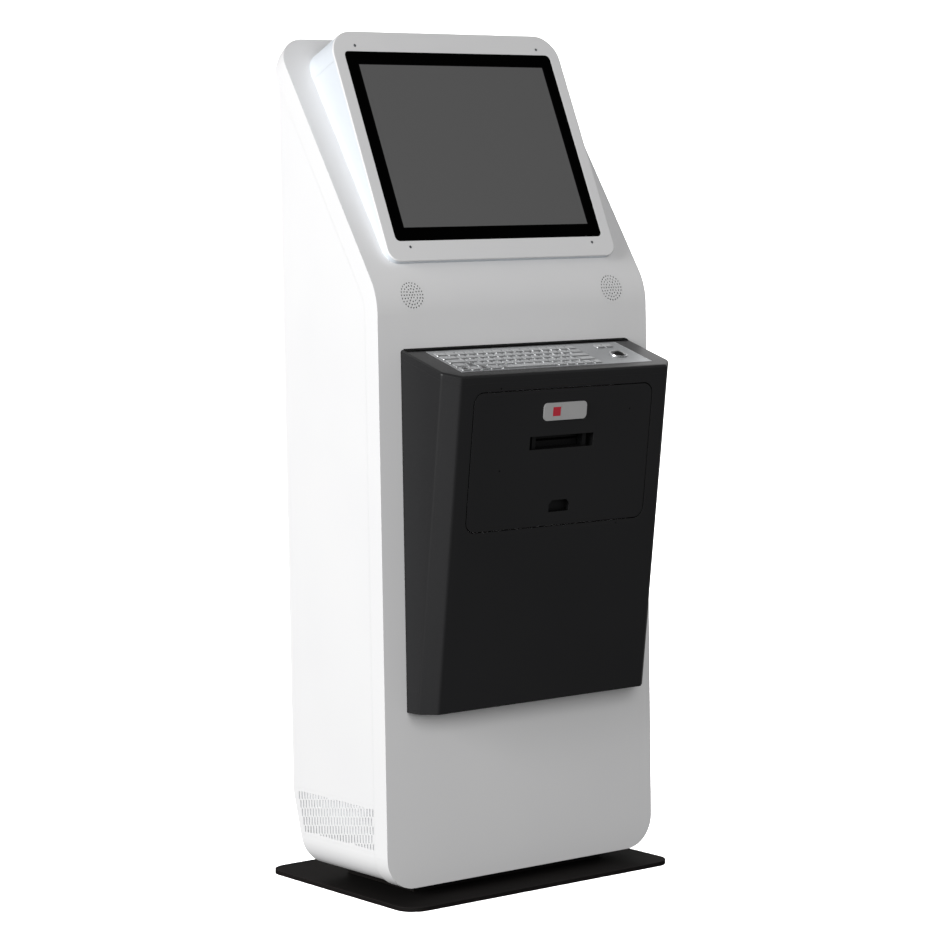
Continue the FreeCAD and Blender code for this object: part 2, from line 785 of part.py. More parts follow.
def make_speakers():
    sheet_band = front_band(0, N["cabinet_sheet"], N["front_base"], REAR_Y, HEAD_TOP, N["cabinet_width"])
    behind = front_band(N["cabinet_sheet"], N["front_flange"] + 20, N["front_base"], REAR_Y, HEAD_TOP,
                        N["cabinet_width"])
    drivers = []
    for side, name in ((-1, "speaker_grille_left"), (1, "speaker_grille_right")):
        disc = speaker_post(side, N["speaker_size"] / 2, -5, 20).common(sheet_band)
        centre = speaker_axis(side, -5)
        across = X_AXIS
        along = KNEE_NORMAL.cross(X_AXIS)
        holes = []
        for ring in range(5):
            count = 6 * ring if ring else 1
            for index in range(count):
                turn = 2 * math.pi * index / count
                spot = centre + across * (ring * N["speaker_ring_pitch"] * math.cos(turn))
                spot = spot + along * (ring * N["speaker_ring_pitch"] * math.sin(turn))
                holes.append(Part.makeCylinder(N["speaker_hole"] / 2, 20, spot, -KNEE_NORMAL))
        feature(name, disc.cut(Part.makeCompound(holes)))
        outer = N["speaker_size"] / 2 + 4
        gasket = speaker_post(side, outer, -5, 11 + N["cabinet_sheet"]).common(behind)
        gasket = gasket.cut(speaker_post(side, N["speaker_size"] / 2 - 2, -5, 40))
        start = 6 + N["cabinet_sheet"]
        base = speaker_axis(side, start)
        basket = Part.makeCone(outer, outer * 0.5, N["speaker_depth"] * 0.5, base, -KNEE_NORMAL)
        bowl = Part.makeCone(outer - 6, outer * 0.3, N["speaker_depth"] * 0.4, base, -KNEE_NORMAL)
        magnet = speaker_post(side, outer * 0.62, start + N["speaker_depth"] * 0.5, N["speaker_depth"] * 0.5)
        drivers.append(basket.cut(bowl).fuse(magnet).fuse(gasket))
    feature("speaker_drivers", Part.makeCompound(drivers))


# Screen head
def make_bezel():
    body = start_body("screen_bezel", SCREEN)
    outline = start_sketch(body, "bezel_outline")
    draw_rectangle(outline, D["bezel_width"], D["bezel_height"], 0, D["bezel_rise"])
    pad(body, outline, D["bezel_thickness"], down=True)
    window = start_sketch(body, "bezel_window")
    draw_rectangle(window, D["glass_width"] + 2 * D["glass_fit"], D["glass_height"] + 2 * D["glass_fit"])
    pocket(body, window, D["bezel_thickness"])
    screws = start_sketch(body, "bezel_screw_holes")
    for sx in (-1, 1):
        for sy in (-1, 1):
            draw_circle(screws, D["trim_screw_size"] / 2 + D["pin_fit"], sx * D["trim_screw_x"],
                        sy * D["trim_screw_v"])
    pocket(body, screws, D["bezel_thickness"])
    edge = N["bezel_width"] / 2 - 1
    fillet_upright(body, D["bezel_corner_top"], lambda spot: abs(spot.x) > edge and spot.y > 0)
    fillet_upright(body, D["bezel_corner_low"], lambda spot: abs(spot.x) > edge and spot.y < 0)
    half_x, half_y = N["glass_width"] / 2 + 2, N["glass_height"] / 2 + 2
    fillet_upright(body, D["glass_corner"] + D["glass_fit"],
                   lambda spot: abs(spot.x) < half_x and abs(spot.y) < half_y)

    def outer_rim(edge):
        box = edge.BoundBox
        beyond = max(-box.XMin, box.XMax) > half_x or max(-box.YMin, box.YMax) > half_y
        return box.ZMin > -1e-4 and beyond and not edge.isClosed()
    fillet(body, D["bezel_edge"], outer_rim)


def in_front_of_slant(clearance=0.0):
    """Large block in front of the raked panel's outer face."""
    return placed(Part.makeBox(1200, 1600, 400, Vector(-600, -700, clearance)), SLANT)


def band_form(inset, deep):
    outer = rounded_face(N["bezel_width"] - 2 * inset, N["bezel_height"] - 2 * inset,
                         N["bezel_corner_top"] - inset, N["bezel_corner_low"] - inset, 0, N["bezel_rise"])
    solid = outer.extrude(Vector(0, 0, -deep))
    solid.translate(Vector(0, 0, -N["bezel_thickness"]))
    return solid


def make_bands():
    reach = N["bezel_height"] / 2
    ring = band_form(0, reach).cut(band_form(N["cabinet_sheet"], reach))
    ring = placed(ring, SCREEN).common(in_front_of_slant())
    half = N["band_joint"] / 2
    above = Part.makeBox(1200, 600, 600, Vector(-600, N["band_seam"] + half, -500))
    below = Part.makeBox(1200, 900, 600, Vector(-600, N["band_seam"] - half - 900, -500))
    feature("screen_band_upper", ring.common(placed(above, SCREEN)))
    feature("screen_band_lower", ring.common(placed(below, SCREEN)))


def make_screen_core():
    glass = start_body("touch_glass", SCREEN)
    outline = start_sketch(glass, "glass_outline", -D["glass_sink"])
    draw_rectangle(outline, D["glass_width"], D["glass_height"])
    pad(glass, outline, D["glass_thickness"], down=True)
    fillet_upright(glass, D["glass_corner"])
    display = start_body("display_panel", SCREEN)
    outline = start_sketch(display, "display_outline", -(D["glass_sink"] + D["glass_thickness"]))
    draw_rectangle(outline, D["display_width"], D["display_height"])
    pad(display, outline, D["display_depth"], down=True)
    rails = []
    for side in (-1, 1):
        inner = side * N["display_height"] / 2
        outer = side * (N["trim_screw_v"] + N["rail_end"] - 2)
        low, high = min(inner, outer), max(inner, outer)
        rail = box_between(-N["display_width"] / 2, N["display_width"] / 2, low, high,
                           -N["bezel_thickness"] - N["rail_depth"], -N["bezel_thickness"])
        relief = box_between(-N["glass_width"] / 2 - 1, N["glass_width"] / 2 + 1,
                             -N["glass_height"] / 2 - 1, N["glass_height"] / 2 + 1,
                             -N["glass_sink"] - N["glass_thickness"], 0)
        web = box_between(-N["display_width"] / 2 + 12, N["display_width"] / 2 - 12,
                          min(inner, outer) + 3, max(inner, outer) - 3,
                          -N["bezel_thickness"] - N["rail_depth"] - 1, -N["bezel_thickness"] - 3)
        rail = rail.cut(relief).cut(web)
        for sx in (-1, 1):
            spot = Vector(sx * N["trim_screw_x"], side * N["trim_screw_v"], -N["bezel_thickness"] - 4)
            rail = rail.cut(Part.makeCylinder(N["trim_screw_size"] / 4, 5, spot))
        rails.append(rail)
    feature("display_rails", placed(Part.makeCompound(rails), SCREEN))
    screws = []
    for sx in (-1, 1):
        for sy in (-1, 1):
            spot = Vector(sx * N["trim_screw_x"], sy * N["trim_screw_v"], -N["bezel_thickness"])
            head = Part.makeCylinder(N["trim_screw_size"] / 2, N["bezel_thickness"] + 0.2, spot)
            socket = Part.makeCylinder(N["trim_screw_size"] / 4, 2, Vector(spot.x, spot.y, -1))
            screws.append(head.cut(socket))
    feature("bezel_screws", placed(Part.makeCompound(screws), SCREEN))


# Console
FLAP_PINS = ((-133, 753), (149, 846))
SHELL_PINS = ((-141.5, 895), (137.5, 643))


def console_wedge(inset):
    """Closed form of the console, its front, sides and base moved inward by inset."""
    half = N["console_width"] / 2 - inset
    base = N["console_bottom"] + inset
    lean = FACE_LEAN
    shift = inset / cos(N["console_lean"])
    foot_y = FRONT_Y - N["console_foot"] + shift - lean * inset
    slope = tan(N["deck_slope"])
    run = (N["console_top"] - base + (foot_y - FRONT_Y) * slope) / (1 + lean * slope)
    top_y = foot_y - lean * run
    top_z = base + run
    points = [Vector(-half, FRONT_Y, base), Vector(-half, foot_y, base), Vector(-half, top_y, top_z)]
    points.append(Vector(-half, FRONT_Y, N["console_top"]))
    solid = prism(points, Vector(2 * half, 0, 0))
    edges = []
    for edge in solid.Edges:
        if edge.BoundBox.YMax < FRONT_Y - 1 and edge.Length > run * 0.9 and edge.BoundBox.XLength < 1e-6:
            edges.append(edge)
    return solid.makeFillet(N["console_corner"] - inset, edges)


def deck_block(drop):
    """Large block that lies more than drop below the console's sloping top."""
    return placed(Part.makeBox(1200, 1200, 1200, Vector(-600, -700, -1200 - drop)), DECK)


def flap_form(width, height, radius, z0, z1):
    face = rounded_face(width, height, radius, radius)
    solid = face.extrude(Vector(0, 0, z1 - z0))
    solid.translate(Vector(0, 0, z0))
    return solid


def make_console_shell():
    outer = console_wedge(0).common(deck_block(N["deck_skirt"]))
    inner = console_wedge(N["console_sheet"])
    shell = outer.cut(inner)
    gap = N["flap_gap"]
    mouth = flap_form(N["flap_width"] + 2 * gap, N["flap_height"] + 2 * gap, N["flap_corner"] + gap, -10, 10)
    shell = shell.cut(placed(mouth, FACE))
    for x, z in SHELL_PINS:
        hole = Part.makeCylinder(N["pin_screw_size"] / 2, 20, Vector(x, on_face(z), -10))
        shell = shell.cut(placed(hole, FACE))
    feature("console_shell", shell)


def make_deck():
    outer = console_wedge(0)
    rim = []
    for edge in outer.Edges:
        on_top = all(abs(DECK.inverse().multVec(vertex.Point).z) < 0.01 for vertex in edge.Vertexes)
        if on_top and edge.BoundBox.YMin < FRONT_Y - 1:
            rim.append(edge)
    outer = outer.makeFillet(N["deck_edge"], rim)
    cap = outer.cut(deck_block(N["deck_skirt"]))
    cap = cap.cut(console_wedge(N["console_sheet"]).common(deck_block(N["deck_thickness"])))
    centre_v = N["keyboard_back"] + N["keyboard_depth"] / 2
    hole = rounded_face(N["keyboard_width"], N["keyboard_depth"], N["keyboard_corner"],
                        N["keyboard_corner"], 0, -centre_v)
    hole = hole.extrude(Vector(0, 0, 40))
    hole.translate(Vector(0, 0, -20))
    feature("console_deck", cap.cut(placed(hole, DECK)))


# Keyboard
PLATE_TOP = -N["deck_thickness"]
PLATE_LOW = PLATE_TOP - N["keyboard_plate"]
LIP_LOW = PLATE_LOW - 0.1 - N["key_lip"]
TRAY_FLOOR = LIP_LOW - N["key_travel"] - 0.5
TRAY_LOW = PLATE_LOW - N["key_base_depth"]
KEY_ROWS = (
    (1.25,) + (1,) * 14,
    (1.75,) + (1,) * 12 + (1.5,),
    (2,) + (1,) * 11 + (2.25,),
    (1.25,) + (1,) * 12 + (2,),
    (1, 1, 1, 1.25, 6, 1, 1, 1, 1, 1),
)


def key_spots(row):
    """Centre x, centre v and width in pitches of each key of a row, from the left."""
    x = -N["keyboard_width"] / 2 + N["key_left"]
    v = N["keyboard_back"] + N["key_first_row"] + row * N["key_pitch_v"]
    spots = []
    for units in KEY_ROWS[row]:
        width = units * N["key_pitch_x"]
        spots.append((x + width / 2, v, units))
        x += width
    return spots


def mouse_spots():
    v = N["keyboard_back"] + N["key_first_row"]
    return [(N["mouse_key_x"] + index * N["key_pitch_x"], v, 1) for index in range(2)]


def cap_size(units):
    return units * N["key_pitch_x"] - N["key_gap"], N["key_pitch_v"] - N["key_gap"]


def flat_rectangle(x, y, width, height, z):
    points = []
    for sx, sy in ((-1, -1), (1, -1), (1, 1), (-1, 1)):
        points.append(Vector(x + sx * width / 2, y + sy * height / 2, z))
    return Part.makePolygon([*points, points[0]])


def key_solid(spot):
    """Key cap with its retaining lip below the plate and its stem into the tray."""
    x, v, units = spot
    wide, deep = cap_size(units)
    y = -v
    lip = N["key_lip"]
    top = PLATE_TOP + N["key_rise"]
    shoulder = PLATE_TOP + N["key_rise"] * 0.3
    foot = flat_rectangle(x, y, wide, deep, shoulder)
    crown = flat_rectangle(x, y, wide - 2, deep - 2, top)
    cap = Part.makeLoft([foot, crown], True, True)
    shaft = box_between(x - wide / 2, x + wide / 2, y - deep / 2, y + deep / 2, LIP_LOW + lip, shoulder)
    rim = box_between(x - wide / 2 - lip, x + wide / 2 + lip, y - deep / 2 - lip, y + deep / 2 + lip,
                      LIP_LOW, LIP_LOW + lip)
    half = N["key_stem"] / 2
    stem = box_between(x - half, x + half, y - half, y + half, TRAY_LOW + 0.5, LIP_LOW)
    return cap.fuse([shaft, rim, stem]).removeSplitter()


def make_keys():
    enter = (2, len(KEY_ROWS[2]) - 1)
    space = (4, 4)
    for row in range(len(KEY_ROWS)):
        solids = []
        for index, spot in enumerate(key_spots(row)):
            if (row, index) == enter:
                feature("enter_key", placed(key_solid(spot), DECK))
            elif (row, index) == space:
                feature("space_bar", placed(key_solid(spot), DECK))
            else:
                solids.append(key_solid(spot))
        feature(f"keys_row_{row + 1}", placed(Part.makeCompound(solids), DECK))
    for name, spot in zip(("mouse_key_left", "mouse_key_right"), mouse_spots()):
        feature(name, placed(key_solid(spot), DECK))


def all_key_spots():
    spots = []
    for row in range(len(KEY_ROWS)):
        spots += key_spots(row)
    return spots + mouse_spots()


BALL_RADIUS = N["ball_size"] / 2
BALL_Z = PLATE_TOP - N["ball_sink"]


def make_keyboard():
    lap = N["keyboard_lap"]
    centre_v = N["keyboard_back"] + N["keyboard_depth"] / 2
    half_x, half_y = N["keyboard_width"] / 2 + lap, N["keyboard_depth"] / 2 + lap
    plate = box_between(-half_x, half_x, -centre_v - half_y, -centre_v + half_y, PLATE_LOW, PLATE_TOP)
    cuts = []
    for x, v, units in all_key_spots():
        wide, deep = cap_size(units)
        wide, deep = wide / 2 + N["key_clearance"], deep / 2 + N["key_clearance"]
        cuts.append(box_between(x - wide, x + wide, -v - deep, -v + deep, PLATE_LOW - 1, PLATE_TOP + 1))
    ball_spot = Vector(N["ball_x"], -N["ball_v"], 0)
    bore = BALL_RADIUS + N["ball_gap"]
    cuts.append(Part.makeCylinder(bore, 40, ball_spot + Vector(0, 0, PLATE_LOW - 1)))
    feature("keyboard_plate", placed(plate.cut(Part.makeCompound(cuts)), DECK))
    half_x, half_y = N["keyboard_width"] / 2, N["keyboard_depth"] / 2
    tray = box_between(-half_x, half_x, -centre_v - half_y, -centre_v + half_y, TRAY_LOW, PLATE_LOW)
    wall = N["key_tray_wall"]
    tray = tray.cut(box_between(-half_x + wall, half_x - wall, -centre_v - half_y + wall,
                                -centre_v + half_y - wall, TRAY_FLOOR, PLATE_LOW + 1))
    holes = []
    half = N["key_stem"] / 2 + N["key_clearance"]
    for x, v, units in all_key_spots():
        holes.append(box_between(x - half, x + half, -v - half, -v + half, TRAY_LOW - 1, TRAY_FLOOR + 1))
    tray = tray.cut(Part.makeCompound(holes))
    cup_low = BALL_Z - BALL_RADIUS - 3
    cup = Part.makeCylinder(bore + 3, PLATE_LOW - cup_low, ball_spot + Vector(0, 0, cup_low))
    tray = tray.fuse(cup)
    tray = tray.cut(Part.makeSphere(bore, ball_spot + Vector(0, 0, BALL_Z)))
    tray = tray.cut(Part.makeCylinder(bore, 40, ball_spot + Vector(0, 0, BALL_Z)))
    feature("keyboard_tray", placed(tray, DECK))
    mouth = BALL_RADIUS - N["ring_grip"]
    reach = mouth + N["ring_width"]
    ring = Part.makeCylinder(reach, N["ring_height"], ball_spot + Vector(0, 0, PLATE_TOP))
    ring = ring.cut(Part.makeCylinder(mouth, 40, ball_spot + Vector(0, 0, PLATE_TOP - 1)))
    crest = [edge for edge in ring.Edges if edge.BoundBox.ZMin > PLATE_TOP + N["ring_height"] - 0.01]
    outer = [edge for edge in crest if edge.isClosed() and edge.BoundBox.XLength > 2 * reach - 1]
    feature("trackball_ring", placed(ring.makeFillet(N["ring_height"] * 0.6, outer), DECK))
    ball = Part.makeSphere(BALL_RADIUS, ball_spot + Vector(0, 0, BALL_Z))
    feature("trackball", placed(ball, DECK))


# Console flap and what it carries
FLAP_TOP = N["flap_height"] / 2
FLAP_AXIS_Y = FLAP_TOP - N["flap_axis_drop"]
FLAP_AXIS_Z = -N["flap_axis_depth"]


def pull_points(grow):
    """Outline of the finger recess: a rectangle whose two top corners are bevelled."""
    x, y = N["pull_x"], on_face(N["pull_z"])
    half_x, half_y = N["pull_width"] / 2 + grow, N["pull_height"] / 2 + grow
    bevel = N["pull_chamfer"]
    points = [(x - half_x, y - half_y), (x + half_x, y - half_y), (x + half_x, y + half_y - bevel)]
    points += [(x + half_x - bevel, y + half_y), (x - half_x + bevel, y + half_y)]
    points.append((x - half_x, y + half_y - bevel))
    return points


def pull_prism(grow, z0, z1):
    points = [Vector(x, y, z0) for x, y in pull_points(grow)]
    return prism(points, Vector(0, 0, z1 - z0))


def pin_screws(spots, sheet_thickness):
    screws = []
    radius = N["pin_screw_size"] / 2
    for x, z in spots:
        spot = Vector(x, on_face(z), -sheet_thickness)
        shank = Part.makeCylinder(radius, sheet_thickness - 0.2, spot)
        nut = Part.makeCylinder(radius * 2, sheet_thickness, spot - Vector(0, 0, sheet_thickness))
        screws.append(shank.fuse(nut))
    return placed(Part.makeCompound(screws), FACE)


def make_flap():
    body = start_body("flap_panel", FACE)
    outline = start_sketch(body, "flap_outline")
    draw_rectangle(outline, D["flap_width"], D["flap_height"])
    pad(body, outline, D["flap_sheet"], down=True)
    fillet_upright(body, D["flap_corner"])
    slot = start_sketch(body, "flap_slot")
    slot_y = (D["slot_z"] - D["flap_centre_z"]) / Size(cos(N["console_lean"]), "cos(Sizes.console_lean * 1 deg)")
    draw_rectangle(slot, D["slot_width"], D["slot_height"], 0, slot_y)
    pocket(body, slot, D["flap_sheet"])
    reader = start_sketch(body, "flap_reader_window")
    reader_y = (D["reader_z"] - D["flap_centre_z"]) / Size(cos(N["console_lean"]), "cos(Sizes.console_lean * 1 deg)")
    draw_rectangle(reader, D["reader_width"] - 8, D["reader_height"] - 6, D["reader_x"], reader_y)
    pocket(body, reader, D["flap_sheet"])
    pull = start_sketch(body, "flap_pull_window")
    points = pull_points(0)
    for index, (x, y) in enumerate(points):
        nx, ny = points[(index + 1) % len(points)]
        pull.addGeometry(Part.LineSegment(Vector(x, y, 0), Vector(nx, ny, 0)), False)
    pocket(body, pull, D["flap_sheet"])
    pins = start_sketch(body, "flap_pin_holes")
    for x, z in FLAP_PINS:
        draw_circle(pins, D["pin_screw_size"] / 2, x, on_face(z))
    pocket(body, pins, D["flap_sheet"])


def make_flap_fittings():
    outer = pull_prism(N["pull_wall"], -N["pull_depth"] - N["pull_wall"], -N["flap_sheet"])
    flange = pull_prism(5, -N["flap_sheet"] - N["pull_wall"], -N["flap_sheet"])
    cup = outer.fuse(flange).cut(pull_prism(0, -N["pull_depth"], 5))
    feature("flap_pull", placed(cup, FACE))
    feature("flap_screws", pin_screws(FLAP_PINS, N["flap_sheet"]))
    feature("console_screws", pin_screws(SHELL_PINS, N["console_sheet"]))
    y = on_face(N["slot_z"])
    wall, deep = N["throat_wall"], N["throat_depth"]
    half_x, half_y = N["slot_width"] / 2, N["slot_height"] / 2
    low = -N["flap_sheet"]
    throat = box_between(-half_x - wall, half_x + wall, y - half_y - wall, y + half_y + wall, low - deep, low)
    throat = throat.fuse(box_between(-half_x - 9, half_x + 9, y - half_y - 7, y + half_y + 7, low - wall, low))
    throat = throat.cut(box_between(-half_x, half_x, y - half_y, y + half_y, low - deep - 1, 1))
    for side in (-1, 1):
        x = side * N["guide_offset"]
        guide = box_between(x - N["guide_width"] / 2, x + N["guide_width"] / 2, y - half_y, y + half_y,
                            low - deep, low - deep * 0.3)
        throat = throat.fuse(guide)
    feature("receipt_throat", placed(throat, FACE))
    pins = []
    arms = []
    for side in (-1, 1):
        x = side * N["flap_hinge_x"]
        half = N["flap_knuckle_length"] / 2
        lug, apart = N["flap_lug"], N["flap_side_gap"]
        spot = Vector(x - half - apart - lug, FLAP_AXIS_Y, FLAP_AXIS_Z)
        pin = Part.makeCylinder(N["flap_pin"] / 2, 2 * (half + apart + lug), spot, X_AXIS)
        for start in (x - half - apart - lug, x + half + apart):
            web = box_between(start, start + lug, FLAP_AXIS_Y - 14, FLAP_AXIS_Y + 3,
                              FLAP_AXIS_Z - N["flap_pin"], -N["flap_sheet"])
            pin = pin.fuse(web)
        pins.append(pin)
        arms.append(flap_arm(x, half))
    feature("flap_hinge_pins", placed(Part.makeCompound(pins), FACE))
    feature("flap_hinge_arms", placed(Part.makeCompound(arms), FACE))


def flap_arm(x, half):
    """Goose-neck arm: knuckle on the flap's axis, round behind the edge to the shell's inside."""
    thick = N["flap_arm"]
    back = FLAP_AXIS_Z - N["flap_arm_reach"]
    rise = FLAP_TOP + N["flap_gap"] + 13
    seat = -N["console_sheet"]
    y = FLAP_AXIS_Y
    points = ((y - thick / 2, FLAP_AXIS_Z), (y - thick / 2, back), (rise, back), (rise, seat),
              (rise - 10, seat), (rise - 10, seat - thick), (rise - thick, seat - thick),
              (rise - thick, back + thick), (y + thick / 2, back + thick), (y + thick / 2, FLAP_AXIS_Z))
    arm = prism([Vector(x - half, py, pz) for py, pz in points], Vector(2 * half, 0, 0))
    spot = Vector(x - half, FLAP_AXIS_Y, FLAP_AXIS_Z)
    arm = arm.fuse(Part.makeCylinder(N["flap_knuckle"], 2 * half, spot, X_AXIS))
    return arm.cut(Part.makeCylinder(N["flap_pin"] / 2 + N["pin_fit"], 2 * half, spot, X_AXIS))


def make_reader():
    y = on_face(N["reader_z"])
    frame = FACE.multiply(Placement(Vector(N["reader_x"], y, 0), Rotation()))
    body = start_body("reader_bezel", frame)
    outline = start_sketch(body, "reader_outline")
    draw_rectangle(outline, D["reader_width"], D["reader_height"])
    pad(body, outline, D["reader_proud"])
    fillet_upright(body, D["reader_corner"])
    window = start_sketch(body, "reader_window_seat", D["reader_proud"])
    draw_rectangle(window, D["reader_window_width"], D["reader_window_height"],
                   D["reader_window_x"] - D["reader_x"])
    pocket(body, window, D["reader_proud"] / 2)
    groove = start_sketch(body, "reader_groove", D["reader_proud"])
    draw_rectangle(groove, D["reader_proud"] / 2, D["reader_height"] + 2,
                   D["reader_window_x"] - D["reader_x"] + D["reader_window_width"] / 2 + D["reader_proud"] * 0.75)
    pocket(body, groove, D["reader_proud"] / 4)
    window = doc.addObject("Part::Box", "reader_window")
    window.Label = "reader_window"
    for prop, amount in (("Length", D["reader_window_width"]), ("Width", D["reader_window_height"]),
                         ("Height", D["reader_proud"] / 2)):
        window.setExpression(prop, amount.text)
    left = N["reader_window_x"] - N["reader_window_width"] / 2
    spot = Vector(left, y - N["reader_window_height"] / 2, N["reader_proud"] / 2)
    window.Placement = FACE.multiply(Placement(spot, Rotation()))
    keep(window)
    case = doc.addObject("Part::Box", "reader_body")
    case.Label = "reader_body"
    for prop, amount in (("Length", D["reader_width"] - 9), ("Width", D["reader_height"] - 7),
                         ("Height", D["reader_depth"])):
        case.setExpression(prop, amount.text)
    spot = Vector(N["reader_x"] - N["reader_width"] / 2 + 4.5, y - N["reader_height"] / 2 + 3.5,
                  -N["reader_depth"])
    case.Placement = FACE.multiply(Placement(spot, Rotation()))
    keep(case)


# Receipt printer
PRINTER_FRONT = -N["flap_sheet"] - N["throat_depth"] - N["printer_clearance"]
ROLL_Y = FRONT_Y - N["roll_radius"] - 14
ROLL_Z = N["slot_z"] - N["printer_height"] / 2 - N["roll_radius"] - 12


def make_printer():
    y = on_face(N["slot_z"])
    half_x, half_y = N["printer_width"] / 2, N["printer_height"] / 2
    case = box_between(-half_x, half_x, y - half_y, y + half_y, PRINTER_FRONT - N["printer_depth"], PRINTER_FRONT)
    exit_half = N["roll_width"] / 2 + 2
    case = case.cut(box_between(-exit_half, exit_half, y - 2, y + 2, PRINTER_FRONT - 14, PRINTER_FRONT + 1))
    throat = box_between(-exit_half, exit_half, y - half_y + 6, y - half_y + 12,
                         PRINTER_FRONT - N["printer_depth"] - 1, PRINTER_FRONT - N["printer_depth"] + 12)
    case = placed(case.cut(throat), FACE)
    feature("receipt_printer", case)
    thick = N["chassis_sheet"]
    low, high = ROLL_Z - 14, N["slot_z"] + half_y - 6
    plates = []
    for side in (-1, 1):
        x = side * half_x if side > 0 else -half_x - thick
        outline = [Vector(x, FRONT_Y, low), Vector(x, ROLL_Y - 16, low), Vector(x, ROLL_Y - 16, ROLL_Z + 20),
                   Vector(x, FRONT_Y - 92, high - 34), Vector(x, FRONT_Y - 92, high), Vector(x, FRONT_Y, high)]
        plate = prism(outline, Vector(thick, 0, 0))
        reach = half_x + thick + 44
        inner, outer = sorted((side * half_x, side * reach))
        plates.append(plate.fuse(box_between(inner, outer, FRONT_Y - thick, FRONT_Y, low, high)))
    feature("printer_chassis", Part.makeCompound(plates))
    spot = Vector(-half_x, ROLL_Y, ROLL_Z)
    spindle = Part.makeCylinder(N["roll_core"] - N["spindle_fit"], N["printer_width"], spot, X_AXIS)
    for side in (-1, 1):
        start = side * (N["roll_width"] / 2 + 0.5)
        collar_start = start if side > 0 else start - 3
        spindle = spindle.fuse(Part.makeCylinder(N["roll_core"] + 4, 3, Vector(collar_start, ROLL_Y, ROLL_Z), X_AXIS))
    feature("paper_spindle", spindle)
    start = Vector(-N["roll_width"] / 2, ROLL_Y, ROLL_Z)
    roll = Part.makeCylinder(N["roll_radius"], N["roll_width"], start, X_AXIS)
    feature("paper_roll", roll.cut(Part.makeCylinder(N["roll_core"], N["roll_width"], start, X_AXIS)))


# Rear door, hinges and locks
DOOR_MIDDLE = N["door_sill"] + N["door_height"] / 2
HINGE_X = N["door_width"] / 2 + N["door_gap"] / 2
HINGE_LIFT = N["door_hinge_radius"] + 0.3


def hinge_heights():
    reach = N["door_height"] / 2 - 110
    return [DOOR_MIDDLE - reach, DOOR_MIDDLE, DOOR_MIDDLE + reach]


def lock_heights():
    return [DOOR_MIDDLE - N["lock_spacing"] / 2, DOOR_MIDDLE + N["lock_spacing"] / 2]


LOCK_X = N["door_width"] / 2 - N["lock_backset"]


def make_door():
    frame = REAR.multiply(Placement(Vector(0, DOOR_MIDDLE, 0), Rotation()))
    body = start_body("rear_door_panel", frame)
    outline = start_sketch(body, "door_outline")
    draw_rectangle(outline, D["door_width"], D["door_height"])
    pad(body, outline, D["door_flange"], down=True)
    hollow = start_sketch(body, "door_hollow", -D["cabinet_sheet"])
    draw_rectangle(hollow, D["door_width"] - 2 * D["cabinet_sheet"],
                   D["door_height"] - 2 * D["cabinet_sheet"])
    pocket(body, hollow, D["door_flange"])
    locks = start_sketch(body, "door_lock_holes")
    for side in (-1, 1):
        draw_circle(locks, D["lock_radius"], D["door_width"] / 2 - D["lock_backset"], side * D["lock_spacing"] / 2)
    pocket(body, locks, D["cabinet_sheet"])
    slot = start_sketch(body, "door_louvre")
    draw_rectangle(slot, D["louvre_length"], D["louvre_width"], 0,
                   D["door_height"] / 2 - D["louvre_pitch"] * 5)
    cut = pocket(body, slot, D["cabinet_sheet"])
    pattern = body.newObject("PartDesign::LinearPattern", "door_louvres")
    pattern.Originals = [cut]
    pattern.Direction = (slot, ["V_Axis"])
    pattern.Reversed = True
    pattern.Occurrences = int(N["louvre_count"])
    pattern.Length = N["louvre_pitch"] * (N["louvre_count"] - 1)
    pattern.setExpression("Length", (D["louvre_pitch"] * (D["louvre_count"] - 1)).text)
    body.Tip = pattern
    doc.recompute()


def hinge_half(moving, height):
    """One half of a butt hinge in the rear frame; the moving half is the upper knuckle on the door."""
    side = 1 if moving else -1
    radius, leaf = N["door_hinge_radius"], N["hinge_leaf"]
    half = N["door_hinge_length"] / 2
    axis_x = -HINGE_X
    start = height + 0.15 if moving else height - half
    knuckle = Part.makeCylinder(radius, half - 0.15, Vector(axis_x, start, HINGE_LIFT), Y_AXIS)
    inner, outer = sorted((axis_x + side * (radius + 0.6), axis_x + side * N["hinge_leaf_width"]))
    plate = box_between(inner, outer, height - half, height + half, 0, leaf)
    low, high = sorted((axis_x + side * 1.5, axis_x + side * (radius + 1)))
    tab = box_between(low, high, start, start + half - 0.15, 0.3, leaf)
    solid = plate.fuse([tab, knuckle])
    pin = Part.makeCylinder(N["hinge_pin"] / 2, 2 * half - 1, Vector(axis_x, height - half, HINGE_LIFT), Y_AXIS)
    if not moving:
        return solid.fuse(pin)
    bore = Part.makeCylinder(N["hinge_pin"] / 2 + N["pin_fit"], 2 * half,
                             Vector(axis_x, height - half, HINGE_LIFT), Y_AXIS)
    return solid.cut(bore)


